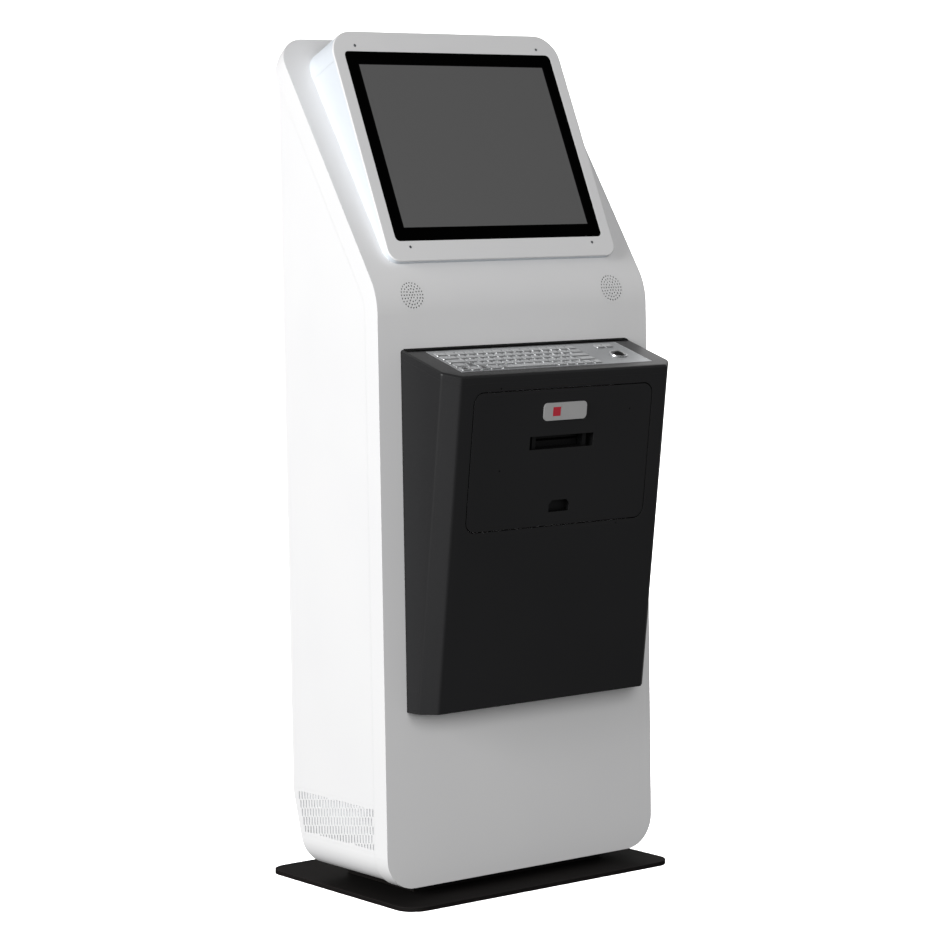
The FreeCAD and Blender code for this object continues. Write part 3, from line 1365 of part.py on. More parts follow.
def make_door_fittings():
    fixed = [hinge_half(False, height) for height in hinge_heights()]
    moving = [hinge_half(True, height) for height in hinge_heights()]
    feature("door_hinge_frames", placed(Part.makeCompound(fixed), REAR))
    feature("door_hinge_leaves", placed(Part.makeCompound(moving), REAR))
    housings = []
    plug_radius = N["lock_radius"] * 0.66
    barrel_low = -N["door_flange"]
    for height, name in zip(lock_heights(), ("lock_plug_lower", "lock_plug_upper")):
        spot = Vector(LOCK_X, height, 0)
        barrel = Part.makeCylinder(N["lock_radius"], -barrel_low, spot + Vector(0, 0, barrel_low))
        face = Part.makeCylinder(N["lock_radius"] + 3, 2, spot)
        bore = Part.makeCylinder(plug_radius + N["lock_fit"], 60, spot + Vector(0, 0, -40))
        housings.append(barrel.fuse(face).cut(bore))
        plug = Part.makeCylinder(plug_radius, 1.5 - barrel_low + 0.5, spot + Vector(0, 0, barrel_low - 0.5))
        keyway = box_between(LOCK_X - 0.8, LOCK_X + 0.8, height - 4, height + 4, -4, 5)
        half = N["cam_width"] / 2
        cam_top = barrel_low - 0.5
        cam = box_between(LOCK_X - half, LOCK_X + half, height - N["cam_length"], height, cam_top - N["cam_thickness"],
                          cam_top)
        cam = cam.fuse(Part.makeCylinder(half, N["cam_thickness"], spot + Vector(0, 0, cam_top - N["cam_thickness"])))
        feature(name, placed(plug.cut(keyway).fuse(cam), REAR))
    feature("lock_housings", placed(Part.makeCompound(housings), REAR))


# Equipment inside the cabinet
def make_shelf():
    depth = N["cabinet_depth"] - N["front_flange"] - 60
    centre_y = FRONT_Y + N["front_flange"] + 12 + depth / 2
    frame = Placement(Vector(0, centre_y, N["shelf_height"]), Rotation())
    body = start_body("equipment_shelf", frame)
    wide = D["cabinet_width"] - 2 * D["wrap_inset"] - 2 * D["cabinet_sheet"]
    deep = D["cabinet_depth"] - D["front_flange"] - 60
    outline = start_sketch(body, "shelf_outline")
    draw_rectangle(outline, wide, deep)
    pad(body, outline, D["shelf_lip"], down=True)
    hollow = start_sketch(body, "shelf_hollow", -D["shelf_sheet"])
    draw_rectangle(hollow, wide - 2 * D["shelf_sheet"], deep - 2 * D["shelf_sheet"])
    pocket(body, hollow, D["shelf_lip"])


def primitive_box(name, lengths, centre, base):
    item = doc.addObject("Part::Box", f"{name}_block")
    for prop, amount in zip(("Length", "Width", "Height"), lengths):
        item.setExpression(prop, Size.of(amount).text)
    wide, deep = float(lengths[0]), float(lengths[1])
    item.Placement = Placement(Vector(centre[0] - wide / 2, centre[1] - deep / 2, base), Rotation())
    return item


def make_equipment():
    centre_y = FRONT_Y + N["cabinet_depth"] / 2
    controller_x = -N["controller_width"] / 2 + 40
    supply_x = controller_x + N["controller_width"] / 2 + N["supply_width"] / 2 + 40
    block = primitive_box("controller", (D["controller_width"], D["controller_depth"], D["controller_height"]),
                          (controller_x, centre_y), N["shelf_height"])
    recess = primitive_box("controller_fins", (D["controller_width"] - 40, 6, D["controller_height"] - 30),
                           (controller_x, centre_y + N["controller_depth"] / 2), N["shelf_height"] + 15)
    case = doc.addObject("Part::Cut", "controller_box")
    case.Label = "controller_box"
    case.Base, case.Tool = block, recess
    keep(case)
    block = primitive_box("supply", (D["supply_width"], D["supply_depth"], D["supply_height"]),
                          (supply_x, centre_y), N["shelf_height"])
    softened = doc.addObject("Part::Chamfer", "power_supply")
    softened.Label = "power_supply"
    doc.recompute()
    softened.Base = block
    tops = [index for index, edge in enumerate(block.Shape.Edges, start=1)
            if edge.BoundBox.ZMin > N["shelf_height"] + N["supply_height"] - 0.01]
    softened.Edges = [(index, 2.0, 2.0) for index in tops]
    keep(softened)


FAN_Y = FRONT_Y + 150
FAN_Z = N["vent_base"] + N["vent_height"] / 2
FAN_X = -WRAP_WIDTH / 2 + N["cabinet_sheet"]


def make_fan():
    half = N["fan_size"] / 2
    frame = box_between(FAN_X, FAN_X + N["fan_depth"], FAN_Y - half, FAN_Y + half, FAN_Z - half, FAN_Z + half)
    spot = Vector(FAN_X, FAN_Y, FAN_Z)
    frame = frame.cut(Part.makeCylinder(N["fan_bore"], N["fan_depth"], spot, X_AXIS))
    back = FAN_X + N["fan_depth"] - 3
    hub = Part.makeCylinder(N["fan_hub"], 3, Vector(back, FAN_Y, FAN_Z), X_AXIS)
    frame = frame.fuse(hub)
    for index in range(4):
        spoke = box_between(back, back + 3, FAN_Y - 2, FAN_Y + 2, FAN_Z + N["fan_hub"] - 2,
                            FAN_Z + N["fan_bore"] + 1)
        spoke.rotate(Vector(0, FAN_Y, FAN_Z), X_AXIS, 45 + 90 * index)
        frame = frame.fuse(spoke)
    post = Part.makeCylinder(N["fan_boss"] / 2, 12, Vector(back - 12, FAN_Y, FAN_Z), X_AXIS)
    feature("fan_frame", frame.fuse(post))
    start = FAN_X + 3
    deep = N["fan_depth"] - 3 - 3 - 0.5
    rotor = Part.makeCylinder(N["fan_hub"] - 1, deep, Vector(start, FAN_Y, FAN_Z), X_AXIS)
    tip = N["fan_bore"] - N["fan_blade_gap"]
    for index in range(int(N["fan_blades"])):
        blade = Part.makeBox(2, 16, tip - N["fan_hub"] + 3, Vector(-1, -8, 0))
        blade.rotate(Vector(0, 0, 0), Z_AXIS, 38)
        blade.translate(Vector(start + deep / 2, FAN_Y, FAN_Z + N["fan_hub"] - 3))
        blade.rotate(Vector(0, FAN_Y, FAN_Z), X_AXIS, 360 * index / N["fan_blades"])
        rotor = rotor.fuse(blade)
    bore = Part.makeCylinder(N["fan_boss"] / 2 + N["pin_fit"], 12.5, Vector(start + deep - 12, FAN_Y, FAN_Z), X_AXIS)
    feature("fan_rotor", rotor.cut(bore))


def make_inlet():
    x, z = N["inlet_x"], N["inlet_z"]
    half_x, half_z = N["inlet_width"] / 2, N["inlet_height"] / 2
    edge = N["inlet_flange"]
    flange = box_between(x - half_x, x + half_x, REAR_Y, REAR_Y + 2.5, z - half_z, z + half_z)
    deep = box_between(x - half_x + edge, x + half_x - edge, REAR_Y - N["inlet_depth"], REAR_Y,
                       z - half_z + edge, z + half_z - edge)
    block = flange.fuse(deep)
    socket_x = x + half_x - edge - 15
    socket = box_between(socket_x - 12, socket_x + 12, REAR_Y - 16, REAR_Y + 4, z - 9, z + 9)
    pins = [box_between(socket_x + dx - 1, socket_x + dx + 1, REAR_Y - 17, REAR_Y - 2, z + dz - 2, z + dz + 2)
            for dx, dz in ((-7, -3), (0, 4), (7, -3))]
    block = block.cut(socket).fuse(pins)
    switch_x = x - half_x + edge + N["switch_width"] / 2 + 2
    wide, tall = N["switch_width"] / 2, N["switch_length"] / 2
    well = box_between(switch_x - wide - 0.4, switch_x + wide + 0.4, REAR_Y - 10, REAR_Y + 4,
                       z - tall - 1, z + tall + 1)
    feature("mains_inlet", block.cut(well))
    outline = ((-tall, 3), (0, 1.2), (tall, 3), (tall * 0.7, -6), (-tall * 0.7, -6))
    points = [Vector(-wide, dy, dz) for dz, dy in outline]
    rocker = prism(points, Vector(2 * wide, 0, 0))
    rocker.rotate(Vector(0, 0, 0), X_AXIS, -6)
    rocker.translate(Vector(switch_x, REAR_Y, z))
    feature("mains_switch", rocker)


make_base()
make_plinth()
make_plinth_bolts()
make_wrap()
make_vents()
make_rear_panel()
make_front_panel()
make_speakers()
make_bezel()
make_bands()
make_screen_core()
make_console_shell()
make_deck()
make_keyboard()
make_keys()
make_flap()
make_flap_fittings()
make_reader()
make_printer()
make_door()
make_door_fittings()
make_shelf()
make_equipment()
make_fan()
make_inlet()

doc.recompute()
for item in doc.Objects:
    if "Invalid" in item.State or "Error" in item.State:
        raise RuntimeError(f"{item.Name}: {item.State}")
for item in parts:
    if item.Shape.isNull() or not item.Shape.isValid():
        raise RuntimeError(f"{item.Label} has no valid shape")
for item in parts:
    item.Shape.exportStep(f"parts/{item.Label}.step")
    print(f"{item.Label}: {len(item.Shape.Solids)} solids, {item.Shape.Volume / 1000:.1f} cm3")
print(f"{len(parts)} nodes")
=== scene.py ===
import enum
import logging
import math
from collections.abc import Sequence
from dataclasses import dataclass
from typing import Any, NamedTuple

import bmesh
import bpy
import numpy as np
from mathutils import Matrix, Vector


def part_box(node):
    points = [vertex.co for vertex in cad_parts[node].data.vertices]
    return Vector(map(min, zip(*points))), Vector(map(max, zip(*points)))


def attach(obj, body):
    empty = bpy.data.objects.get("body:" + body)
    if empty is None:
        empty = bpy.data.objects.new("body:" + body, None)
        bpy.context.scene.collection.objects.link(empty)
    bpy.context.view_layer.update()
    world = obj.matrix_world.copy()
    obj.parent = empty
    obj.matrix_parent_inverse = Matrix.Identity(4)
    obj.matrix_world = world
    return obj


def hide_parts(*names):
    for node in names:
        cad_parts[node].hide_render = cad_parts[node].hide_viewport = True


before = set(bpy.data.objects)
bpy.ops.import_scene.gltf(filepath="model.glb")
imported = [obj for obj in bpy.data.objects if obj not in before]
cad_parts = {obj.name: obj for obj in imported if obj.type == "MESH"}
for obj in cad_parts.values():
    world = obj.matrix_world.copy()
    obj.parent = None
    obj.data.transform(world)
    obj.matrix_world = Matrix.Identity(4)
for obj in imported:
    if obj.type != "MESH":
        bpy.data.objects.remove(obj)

log = logging.getLogger("kiosk")

MM = 0.001
DECK_SLOPE = math.radians(17)
GLASS_TILT = math.radians(66.3)
# A 45 degree bevel shortens by this share of an inset, which is two less the square root of two
BEVEL_SHARE = 0.586
# Corners sharper than this stay sharp on a piece that has been cut
SHARP_FROM = math.radians(30)
# Points closer than this are one point
MERGE_REACH = 1e-6
# Sockets of the colour side of a Mix node
MIX_FACTOR = 0
MIX_FIRST = 6
MIX_SECOND = 7
MIX_RESULT = 2

# Points, one row each, and quads that index them
Block = tuple[np.ndarray, np.ndarray]
Spot = tuple[float, float, float]


def linear(hex_colour: str) -> tuple[float, float, float, float]:
    """Turn an sRGB hex colour into linear light.

    Each channel is divided by 12.92 below 0.04045, and is otherwise ((c + 0.055) / 1.055) to the power 2.4.

    Args:
        hex_colour: six hex digits with a leading mark, such as "#8a8f94".

    Returns:
        Red, green, blue and an alpha of one.
    """
    parts = np.array([int(hex_colour[start:start + 2], 16) for start in (1, 3, 5)]) / 255.0
    light = np.where(parts <= 0.04045, parts / 12.92, ((parts + 0.055) / 1.055) ** 2.4)
    return (float(light[0]), float(light[1]), float(light[2]), 1.0)


def add_node(
    tree: bpy.types.NodeTree,
    kind: str,
    settings: dict[Any, Any] | None = None,
    links: dict[Any, bpy.types.NodeSocket] | None = None,
) -> bpy.types.Node:
    """Add one shader node.

    Args:
        tree: the node tree that takes it.
        kind: the node's type name.
        settings: a small first letter names a property of the node, and anything else names an input.
        links: the output socket that feeds each named or numbered input.

    Returns:
        The new node.
    """
    node = tree.nodes.new(kind)
    for key, value in (settings or {}).items():
        if isinstance(key, str) and key[0].islower():
            setattr(node, key, value)
        else:
            node.inputs[key].default_value = value
    for key, socket in (links or {}).items():
        tree.links.new(socket, node.inputs[key])
    return node


class Grain(enum.Enum):
    """The way that a brushed surface runs: the noise is stretched fifty times along that axis."""

    ALONG_X = (0.02, 1.0, 1.0)
    ALONG_Y = (1.0, 0.02, 1.0)
    ALONG_Z = (1.0, 1.0, 0.02)


class Skin(NamedTuple):
    """A new material with its tree, its shader and the Object coordinates that its patterns read."""

    material: bpy.types.Material
    tree: bpy.types.NodeTree
    shader: bpy.types.Node
    spots: bpy.types.NodeSocket


@dataclass(frozen=True)
class Finish:
    """A real surface: its name and colour, and how far a pattern changes its roughness and its height."""

    name: str
    colour: str
    roughness: float = 0.5
    spread: tuple[float, float] = (0.0, 0.0)
    specular: float = 0.5
    strength: float = 0.5
    relief: float = 0.05 * MM

    def start(self, values: dict[str, float]) -> Skin:
        """Make an empty material.

        Args:
            values: the shader's constant inputs.

        Returns:
            The material and what its patterns link to.
        """
        material = bpy.data.materials.new(self.name)
        material.use_nodes = True
        tree = material.node_tree
        tree.nodes.clear()
        shader = add_node(tree, "ShaderNodeBsdfPrincipled", {"Base Color": linear(self.colour), **values})
        add_node(tree, "ShaderNodeOutputMaterial", links={"Surface": shader.outputs["BSDF"]})
        return Skin(material, tree, shader, add_node(tree, "ShaderNodeTexCoord").outputs["Object"])

    def vary(self, skin: Skin, mask: bpy.types.NodeSocket, tone: tuple[str, str] | None = None,
             gloss: bool = False, bump: dict[str, bpy.types.NodeSocket] | None = None) -> None:
        """Let a pattern that runs from zero to one change the surface.

        Roughness is the finish's own plus a share of its spread, and height is the relief times the pattern.

        Args:
            skin: the material.
            mask: the pattern.
            tone: hex colours where the pattern is zero and one, if it changes the colour.
            gloss: whether it changes the roughness.
            bump: what else feeds the bump, if it raises the surface.
        """
        tree, inputs = skin.tree, skin.shader.inputs
        if tone:
            mixed = add_node(tree, "ShaderNodeMix", {
                "data_type": "RGBA", MIX_FIRST: linear(tone[0]), MIX_SECOND: linear(tone[1]),
            }, {MIX_FACTOR: mask})
            tree.links.new(mixed.outputs[MIX_RESULT], inputs["Base Color"])
        if gloss:
            low, high = (self.roughness + step for step in self.spread)
            ranged = add_node(tree, "ShaderNodeMapRange", {"To Min": low, "To Max": high}, {"Value": mask})
            tree.links.new(ranged.outputs["Result"], inputs["Roughness"])
        if bump is not None:
            raised = add_node(tree, "ShaderNodeBump", {"Strength": self.strength, "Distance": self.relief},
                              {"Height": mask, **bump})
            tree.links.new(raised.outputs["Normal"], inputs["Normal"])


@dataclass(frozen=True)
class PowderCoat(Finish):
    """Polyester powder baked on steel sheet: a dull, even colour with the small waves of orange peel."""

    spread: tuple[float, float] = (-0.06, 0.08)
    shade: str = "#dededd"
    edge_wear_and_highlight: str = "#f2f2f1"
    peel: float = 2.4 * MM
    drift: float = 220 * MM
    edge: float = 0.8 * MM
    # Dot products at which the edge colour, partly wear and partly a painted highlight, starts and is full,
    # and that colour's share there
    edge_wear_and_highlight_levels: tuple[float, float, float] = (0.995, 0.9, 0.5)

    def build(self) -> bpy.types.Material:
        """Colour drifts between two near shades, and the rounded edges take a third colour: partly wear,
        partly a painted edge highlight.

        An edge is where the normal that the Bevel node rounds leaves the flat one, so that their dot product
        falls below one.

        Returns:
            The material.
        """
        skin = self.start({"Specular IOR Level": self.specular})
        tree = skin.tree
        drift = add_node(tree, "ShaderNodeTexNoise", {"Scale": 1 / self.drift, "Detail": 2.0},
                         {"Vector": skin.spots})
        tone = add_node(tree, "ShaderNodeMix", {
            "data_type": "RGBA", MIX_FIRST: linear(self.colour), MIX_SECOND: linear(self.shade),
        }, {MIX_FACTOR: drift.outputs["Fac"]})
        rounded = add_node(tree, "ShaderNodeBevel", {"samples": 4, "Radius": self.edge}).outputs["Normal"]
        flat = add_node(tree, "ShaderNodeNewGeometry").outputs["Normal"]
        level = add_node(tree, "ShaderNodeVectorMath", {"operation": "DOT_PRODUCT"}, {0: rounded, 1: flat})
        wear_and_highlight_mask = add_node(tree, "ShaderNodeMapRange", dict(zip(("From Min", "From Max", "To Max"), self.edge_wear_and_highlight_levels)),
                       {"Value": level.outputs["Value"]})
        # The edge colour is partly wear and partly a painted highlight on the rounded edges
        tinted = add_node(tree, "ShaderNodeMix", {"data_type": "RGBA", MIX_SECOND: linear(self.edge_wear_and_highlight)}, {
            MIX_FACTOR: wear_and_highlight_mask.outputs["Result"], MIX_FIRST: tone.outputs[MIX_RESULT],
        })
        tree.links.new(tinted.outputs[MIX_RESULT], skin.shader.inputs["Base Color"])
        peel = add_node(tree, "ShaderNodeTexNoise", {"Scale": 1 / self.peel, "Detail": 3.0},
                        {"Vector": skin.spots})
        self.vary(skin, peel.outputs["Fac"], gloss=True, bump={"Normal": rounded})
        return skin.material


@dataclass(frozen=True)
class BrushedMetal(Finish):
    """Stainless steel with the fine parallel lines that a belt leaves."""

    spread: tuple[float, float] = (-0.1, 0.12)
    strength: float = 0.4
    relief: float = 0.02 * MM
    dark: str = "#6f7173"
    grain: Grain = Grain.ALONG_X
    line: float = 0.7 * MM
    anisotropic: float = 0.5

    def build(self) -> bpy.types.Material:
        """The lines are a noise that is stretched along the brushing.

        Returns:
            The material.
        """
        skin = self.start({"Metallic": 1.0, "Anisotropic": self.anisotropic})
        along = add_node(skin.tree, "ShaderNodeMapping", {"Scale": self.grain.value}, {"Vector": skin.spots})
        lines = add_node(skin.tree, "ShaderNodeTexNoise", {"Scale": 1 / self.line, "Detail": 4.0},
                         {"Vector": along.outputs["Vector"]})
        self.vary(skin, lines.outputs["Fac"], (self.dark, self.colour), gloss=True, bump={})
        return skin.material


@dataclass(frozen=True)
class ZincPlate(Finish):
    """Bright zinc on small steel parts: cool grey metal with a faint cloudy spangle."""

    roughness: float = 0.38
    spread: tuple[float, float] = (-0.08, 0.1)
    cloud: str = "#8f959b"
    spangle: float = 5 * MM

    def build(self) -> bpy.types.Material:
        """Voronoi cells a few millimetres wide shift the tone and the gloss.

        Returns:
            The material.
        """
        skin = self.start({"Metallic": 1.0})
        cells = add_node(skin.tree, "ShaderNodeTexVoronoi", {"Scale": 1 / self.spangle},
                         {"Vector": skin.spots})
        self.vary(skin, cells.outputs["Distance"], (self.colour, self.cloud), gloss=True)
        return skin.material


@dataclass(frozen=True)
class PolishedMetal(Finish):
    """Chromed brass: a mirror with hairline scratches that soften its highlights."""

    spread: tuple[float, float] = (0.0, 0.12)
    scratch: float = 1.2 * MM

    def build(self) -> bpy.types.Material:
        """Fine noise varies the gloss where cloths have rubbed.

        Returns:
            The material.
        """
        skin = self.start({"Metallic": 1.0})
        rubs = add_node(skin.tree, "ShaderNodeTexNoise", {"Scale": 1 / self.scratch, "Detail": 6.0},
                        {"Vector": skin.spots})
        self.vary(skin, rubs.outputs["Fac"], gloss=True)
        return skin.material


@dataclass(frozen=True)
class MouldedPlastic(Finish):
    """ABS or nylon from a spark-eroded mould: fine even pits and a soft sheen."""

    roughness: float = 0.45
    spread: tuple[float, float] = (-0.05, 0.08)
    strength: float = 0.35
    relief: float = 0.04 * MM
    shade: str = "#1c1c1d"
    pit: float = 0.9 * MM
    flow: float = 40 * MM
    coat: float = 0.0
    coat_roughness: float = 0.12

    def build(self) -> bpy.types.Material:
        """The pits are fine noise; a slower noise drifts the colour as mould flow does.

        Returns:
            The material.
        """
        skin = self.start({
            "Specular IOR Level": self.specular, "Coat Weight": self.coat,
            "Coat Roughness": self.coat_roughness,
        })
        flow, pits = (
            add_node(skin.tree, "ShaderNodeTexNoise", {"Scale": 1 / size, "Detail": 2.0},
                     {"Vector": skin.spots})
            for size in (self.flow, self.pit)
        )
        self.vary(skin, flow.outputs["Fac"], (self.colour, self.shade))
        self.vary(skin, pits.outputs["Fac"], gloss=True, bump={})
        return skin.material


@dataclass(frozen=True)
class PrintedGlass(Finish):
    """Etched touch glass: a black printed border round the grey of the unlit display behind it."""

    roughness: float = 0.3
    spread: tuple[float, float] = (-0.03, 0.05)
    border: str = "#040404"
    lit_width: float = 410 * MM
    lit_height: float = 311 * MM
    centre: Spot = (0.0, 0.0, 0.0)
    softness: float = 0.4 * MM
    dust: float = 60 * MM

    def build(self) -> bpy.types.Material:
        """Inside the lit width and height the display's grey shows; outside, the border's ink.

        Returns:
            The material.
        """
        skin = self.start({"Specular IOR Level": self.specular})
        tree = skin.tree
        flat = add_node(tree, "ShaderNodeMapping", {
            "vector_type": "TEXTURE", "Location": self.centre, "Rotation": (GLASS_TILT, 0.0, 0.0),
        }, {"Vector": skin.spots})
        sides = add_node(tree, "ShaderNodeSeparateXYZ", links={"Vector": flat.outputs["Vector"]})
        masks = {}
        for index, (axis, reach) in enumerate((("X", self.lit_width / 2), ("Y", self.lit_height / 2))):
            away = add_node(tree, "ShaderNodeMath", {"operation": "ABSOLUTE"}, {0: sides.outputs[axis]})
            masks[index] = add_node(tree, "ShaderNodeMapRange", {
                "From Min": reach + self.softness, "From Max": reach - self.softness,
            }, {"Value": away.outputs["Value"]}).outputs["Result"]
        inside = add_node(tree, "ShaderNodeMath", {"operation": "MULTIPLY"}, masks)
        self.vary(skin, inside.outputs["Value"], (self.border, self.colour))
        dust = add_node(tree, "ShaderNodeTexNoise", {"Scale": 1 / self.dust, "Detail": 3.0},
                        {"Vector": skin.spots})
        self.vary(skin, dust.outputs["Fac"], gloss=True)
        return skin.material


@dataclass(frozen=True)
class Paper(Finish):
    """Thermal, cone or studio paper: matt, with the faint mottling of its fibres."""

    roughness: float = 0.85
    strength: float = 0.3
    relief: float = 0.03 * MM
    shade: str = "#e4e2dc"
    fibre: float = 1.5 * MM

    def build(self) -> bpy.types.Material:
        """Fibre noise mixes the two shades and raises the surface.

        Returns:
            The material.
        """
        skin = self.start({"Roughness": self.roughness})
        fibres = add_node(skin.tree, "ShaderNodeTexNoise", {"Scale": 1 / self.fibre, "Detail": 5.0},
                          {"Vector": skin.spots})
        self.vary(skin, fibres.outputs["Fac"], (self.colour, self.shade), bump={})
        return skin.material


@dataclass(frozen=True)
class Foam(Finish):
    """Open-cell foam mat: pale, matt, with round pores that hold a little shade."""

    roughness: float = 0.95
    specular: float = 0.2
    strength: float = 0.6
    relief: float = 0.5 * MM
    pore_colour: str = "#8c8e8f"
    pore: float = 2.2 * MM
    # A cell's middle is this far from its wall, in shares of the pore
    wall: float = 0.45

    def build(self) -> bpy.types.Material:
        """Voronoi cells of the pore's size darken the mat and sink its surface.

        Returns:
            The material.
        """
        skin = self.start({"Roughness": self.roughness, "Specular IOR Level": self.specular})
        cells = add_node(skin.tree, "ShaderNodeTexVoronoi", {"Scale": 1 / self.pore}, {"Vector": skin.spots})
        wall = add_node(skin.tree, "ShaderNodeMapRange", {"From Min": 0.0, "From Max": self.wall},
                        {"Value": cells.outputs["Distance"]})
        self.vary(skin, wall.outputs["Result"], (self.pore_colour, self.colour), bump={})
        return skin.material


@dataclass(frozen=True)
class Cloth(Finish):
    """Woven acoustic cloth: two sets of threads that cross at a real thread spacing."""

    roughness: float = 0.9
    relief: float = 0.2 * MM
    dark: str = "#050505"
    thread: float = 1.1 * MM
    # A Wave node's bands are this far apart at a scale of one
    wave: float = 0.314

    def build(self) -> bpy.types.Material:
        """Two sine waves at right angles make the threads; where both fall, the gap between them is dark.

        Returns:
            The material.
        """
        skin = self.start({"Roughness": self.roughness})
        waves = {index: add_node(skin.tree, "ShaderNodeTexWave", {
            "wave_type": "BANDS", "bands_direction": way, "Scale": self.wave / self.thread,
        }, {"Vector": skin.spots}).outputs["Fac"] for index, way in enumerate(("X", "Z"))}
        woven = add_node(skin.tree, "ShaderNodeMath", {"operation": "MAXIMUM"}, waves)
        self.vary(skin, woven.outputs["Value"], (self.dark, self.colour), bump={})
        return skin.material


def make_object(name: str, block: Block, material: bpy.types.Material) -> bpy.types.Object:
    """Make a mesh object from arrays, merged where points meet and smooth between its faces.

    Args:
        name: the piece's name.
        block: its points and quads.
        material: its finish.

    Returns:
        The object, linked to the scene at the origin.
    """
    mesh = bpy.data.meshes.new(name)
    mesh.from_pydata(block[0].tolist(), [], block[1].tolist())
    work = bmesh.new()
    work.from_mesh(mesh)
    bmesh.ops.remove_doubles(work, verts=work.verts, dist=MERGE_REACH)
    bmesh.ops.recalc_face_normals(work, faces=work.faces)
    work.to_mesh(mesh)
    work.free()
    mesh.materials.append(material)
    mesh.shade_smooth()
    item = bpy.data.objects.new(name, mesh)
    bpy.context.scene.collection.objects.link(item)
    return item


def carve(item: bpy.types.Object, tools: Sequence[Block]) -> None:
    """Cut closed shapes out of a piece and keep the result as its mesh, sharp where its faces meet steeply.

    Args:
        item: the piece.
        tools: world points and quads of each shape.
    """
    for tool in tools:
        cutter = make_object("cutter", tool, item.active_material)
        change = item.modifiers.new("cut", "BOOLEAN")
        change.operation = "DIFFERENCE"
        change.solver = "EXACT"
        change.object = cutter
        graph = bpy.context.evaluated_depsgraph_get()
        mesh = bpy.data.meshes.new_from_object(item.evaluated_get(graph))
        item.modifiers.clear()
        spent = (item.data, cutter.data)
        item.data = mesh
        bpy.data.objects.remove(cutter)
        for old in spent:
            bpy.data.meshes.remove(old)
    item.data.name = item.name
    item.data.set_sharp_from_angle(angle=SHARP_FROM)


def add_piece(
    name: str,
    block: Block,
    material: bpy.types.Material,
    body: str,
    slot: str,
    *nodes: str,
    tools: Sequence[Block] = (),
) -> bpy.types.Object:
    """Make a piece, cut it, and tie it to its body.

    Args:
        name: the piece's name.
        block: its world points and quads.
        material: its finish.
        body: the CAD body that it rides with.
        slot: the record's material slot; not used.
        nodes: the CAD nodes that it replaces, if any.
        tools: the shapes that are cut out of it, if any.

    Returns:
        The new piece.
    """
    item = make_object(name, block, material)
    if tools:
        carve(item, tools)
    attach(item, body)
    if nodes:
        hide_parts(*nodes)
    log.info("%s: %d faces", name, len(item.data.polygons))
    return item


def stacked(shapes: np.ndarray) -> Block:
    """Quads between the neighbouring rings of each shape.

    Args:
        shapes: shapes by rings by points by x, y and z. An end ring whose points are one point closes an end.

    Returns:
        Points and quads of all the shapes.
    """
    rings, around = shapes.shape[1:3]
    row, column = np.meshgrid(np.arange(rings - 1), np.arange(around), indexing="ij")
    after = (column + 1) % around
    low, high = row * around, (row + 1) * around
    faces = np.stack((low + column, low + after, high + after, high + column), axis=-1).reshape(-1, 4)
    starts = np.arange(len(shapes))[:, None, None] * rings * around
    return shapes.reshape(-1, 3), (faces + starts).reshape(-1, 4)


def rounded_ring(width: np.ndarray, depth: np.ndarray, radius: np.ndarray, steps: int) -> np.ndarray:
    """Points round rectangles with round corners.

    Each corner is radius times (cos, sin) of a quarter turn about (half width - radius, half depth - radius).

    Args:
        width: full widths, one for each ring.
        depth: full depths.
        radius: corner radii.
        steps: points in each corner.

    Returns:
        Rings by points by x and y.
    """
    turn = np.linspace(0, math.pi / 2, steps)
    angles = np.concatenate([turn + corner * math.pi / 2 for corner in range(4)])
    side_x = np.repeat([1, -1, -1, 1], steps)
    side_y = np.repeat([1, 1, -1, -1], steps)
    half_x = np.maximum(width / 2 - radius, 0)[:, None]
    half_y = np.maximum(depth / 2 - radius, 0)[:, None]
    x = side_x * half_x + radius[:, None] * np.cos(angles)
    y = side_y * half_y + radius[:, None] * np.sin(angles)
    return np.stack((x, y), axis=-1)


def one_ring(width: float, depth: float, radius: float, steps: int) -> np.ndarray:
    """The rounded ring of one width, depth and radius."""
    return rounded_ring(np.array([width]), np.array([depth]), np.array([radius]), steps)


def lifted(rings: np.ndarray, heights: np.ndarray) -> np.ndarray:
    """Give flat rings their heights.

    Args:
        rings: rings by points by x and y.
        heights: z of each ring.

    Returns:
        Rings by points by x, y and z.
    """
    tall = np.repeat(heights[:, None], rings.shape[1], axis=1)
    return np.concatenate((rings, tall[..., None]), axis=-1)


def circles(radius: np.ndarray, around: int) -> np.ndarray:
    """Circles about the origin: a point at turn t is radius times (cos t, sin t).

    Args:
        radius: one radius for each circle.
        around: points in each.

    Returns:
        Circles by points by x and y.
    """
    turn = np.linspace(0, 2 * math.pi, around, endpoint=False)
    return radius[:, None, None] * np.stack((np.cos(turn), np.sin(turn)), axis=-1)


def bead(size: tuple[float, float], corner: float, offset: float, section: tuple[float, float],
         counts: tuple[int, int]) -> np.ndarray:
    """An oval section carried round a rounded rectangle, and closed by its first ring.

    At turn t the outline grows by offset + half width times cos t and lies at half height times sin t.

    Args:
        size: the rectangle's width and depth.
        corner: its corner radius.
        offset: how far outside it the section's middle runs.
        section: the section's half width and half height.
        counts: points round the section and in each corner.

    Returns:
        Rings by points by x, y and z.
    """
    turn = np.linspace(0, 2 * math.pi, counts[0], endpoint=False)
    grow = offset + section[0] * np.cos(turn)
    rings = lifted(rounded_ring(size[0] + 2 * grow, size[1] + 2 * grow, corner + grow, counts[1]),
                   section[1] * np.sin(turn))
    return np.concatenate((rings, rings[:1]), axis=0)


def prisms(rings: np.ndarray, low: float, high: float) -> Block:
    """Closed upright blocks through outlines in the XY plane.

    Args:
        rings: outlines by points by x and y.
        low: z of the blocks' undersides.
        high: z of their tops.

    Returns:
        Points and quads; each end is closed by a ring drawn in to the outline's middle.
    """
    middle = np.broadcast_to(rings.mean(axis=1)[:, None], rings.shape)
    flat = np.stack((middle, rings, rings, middle), axis=1)
    tall = np.broadcast_to(np.array([low, low, high, high])[None, :, None, None], flat.shape[:3] + (1,))
    return stacked(np.concatenate((flat, tall), axis=-1))


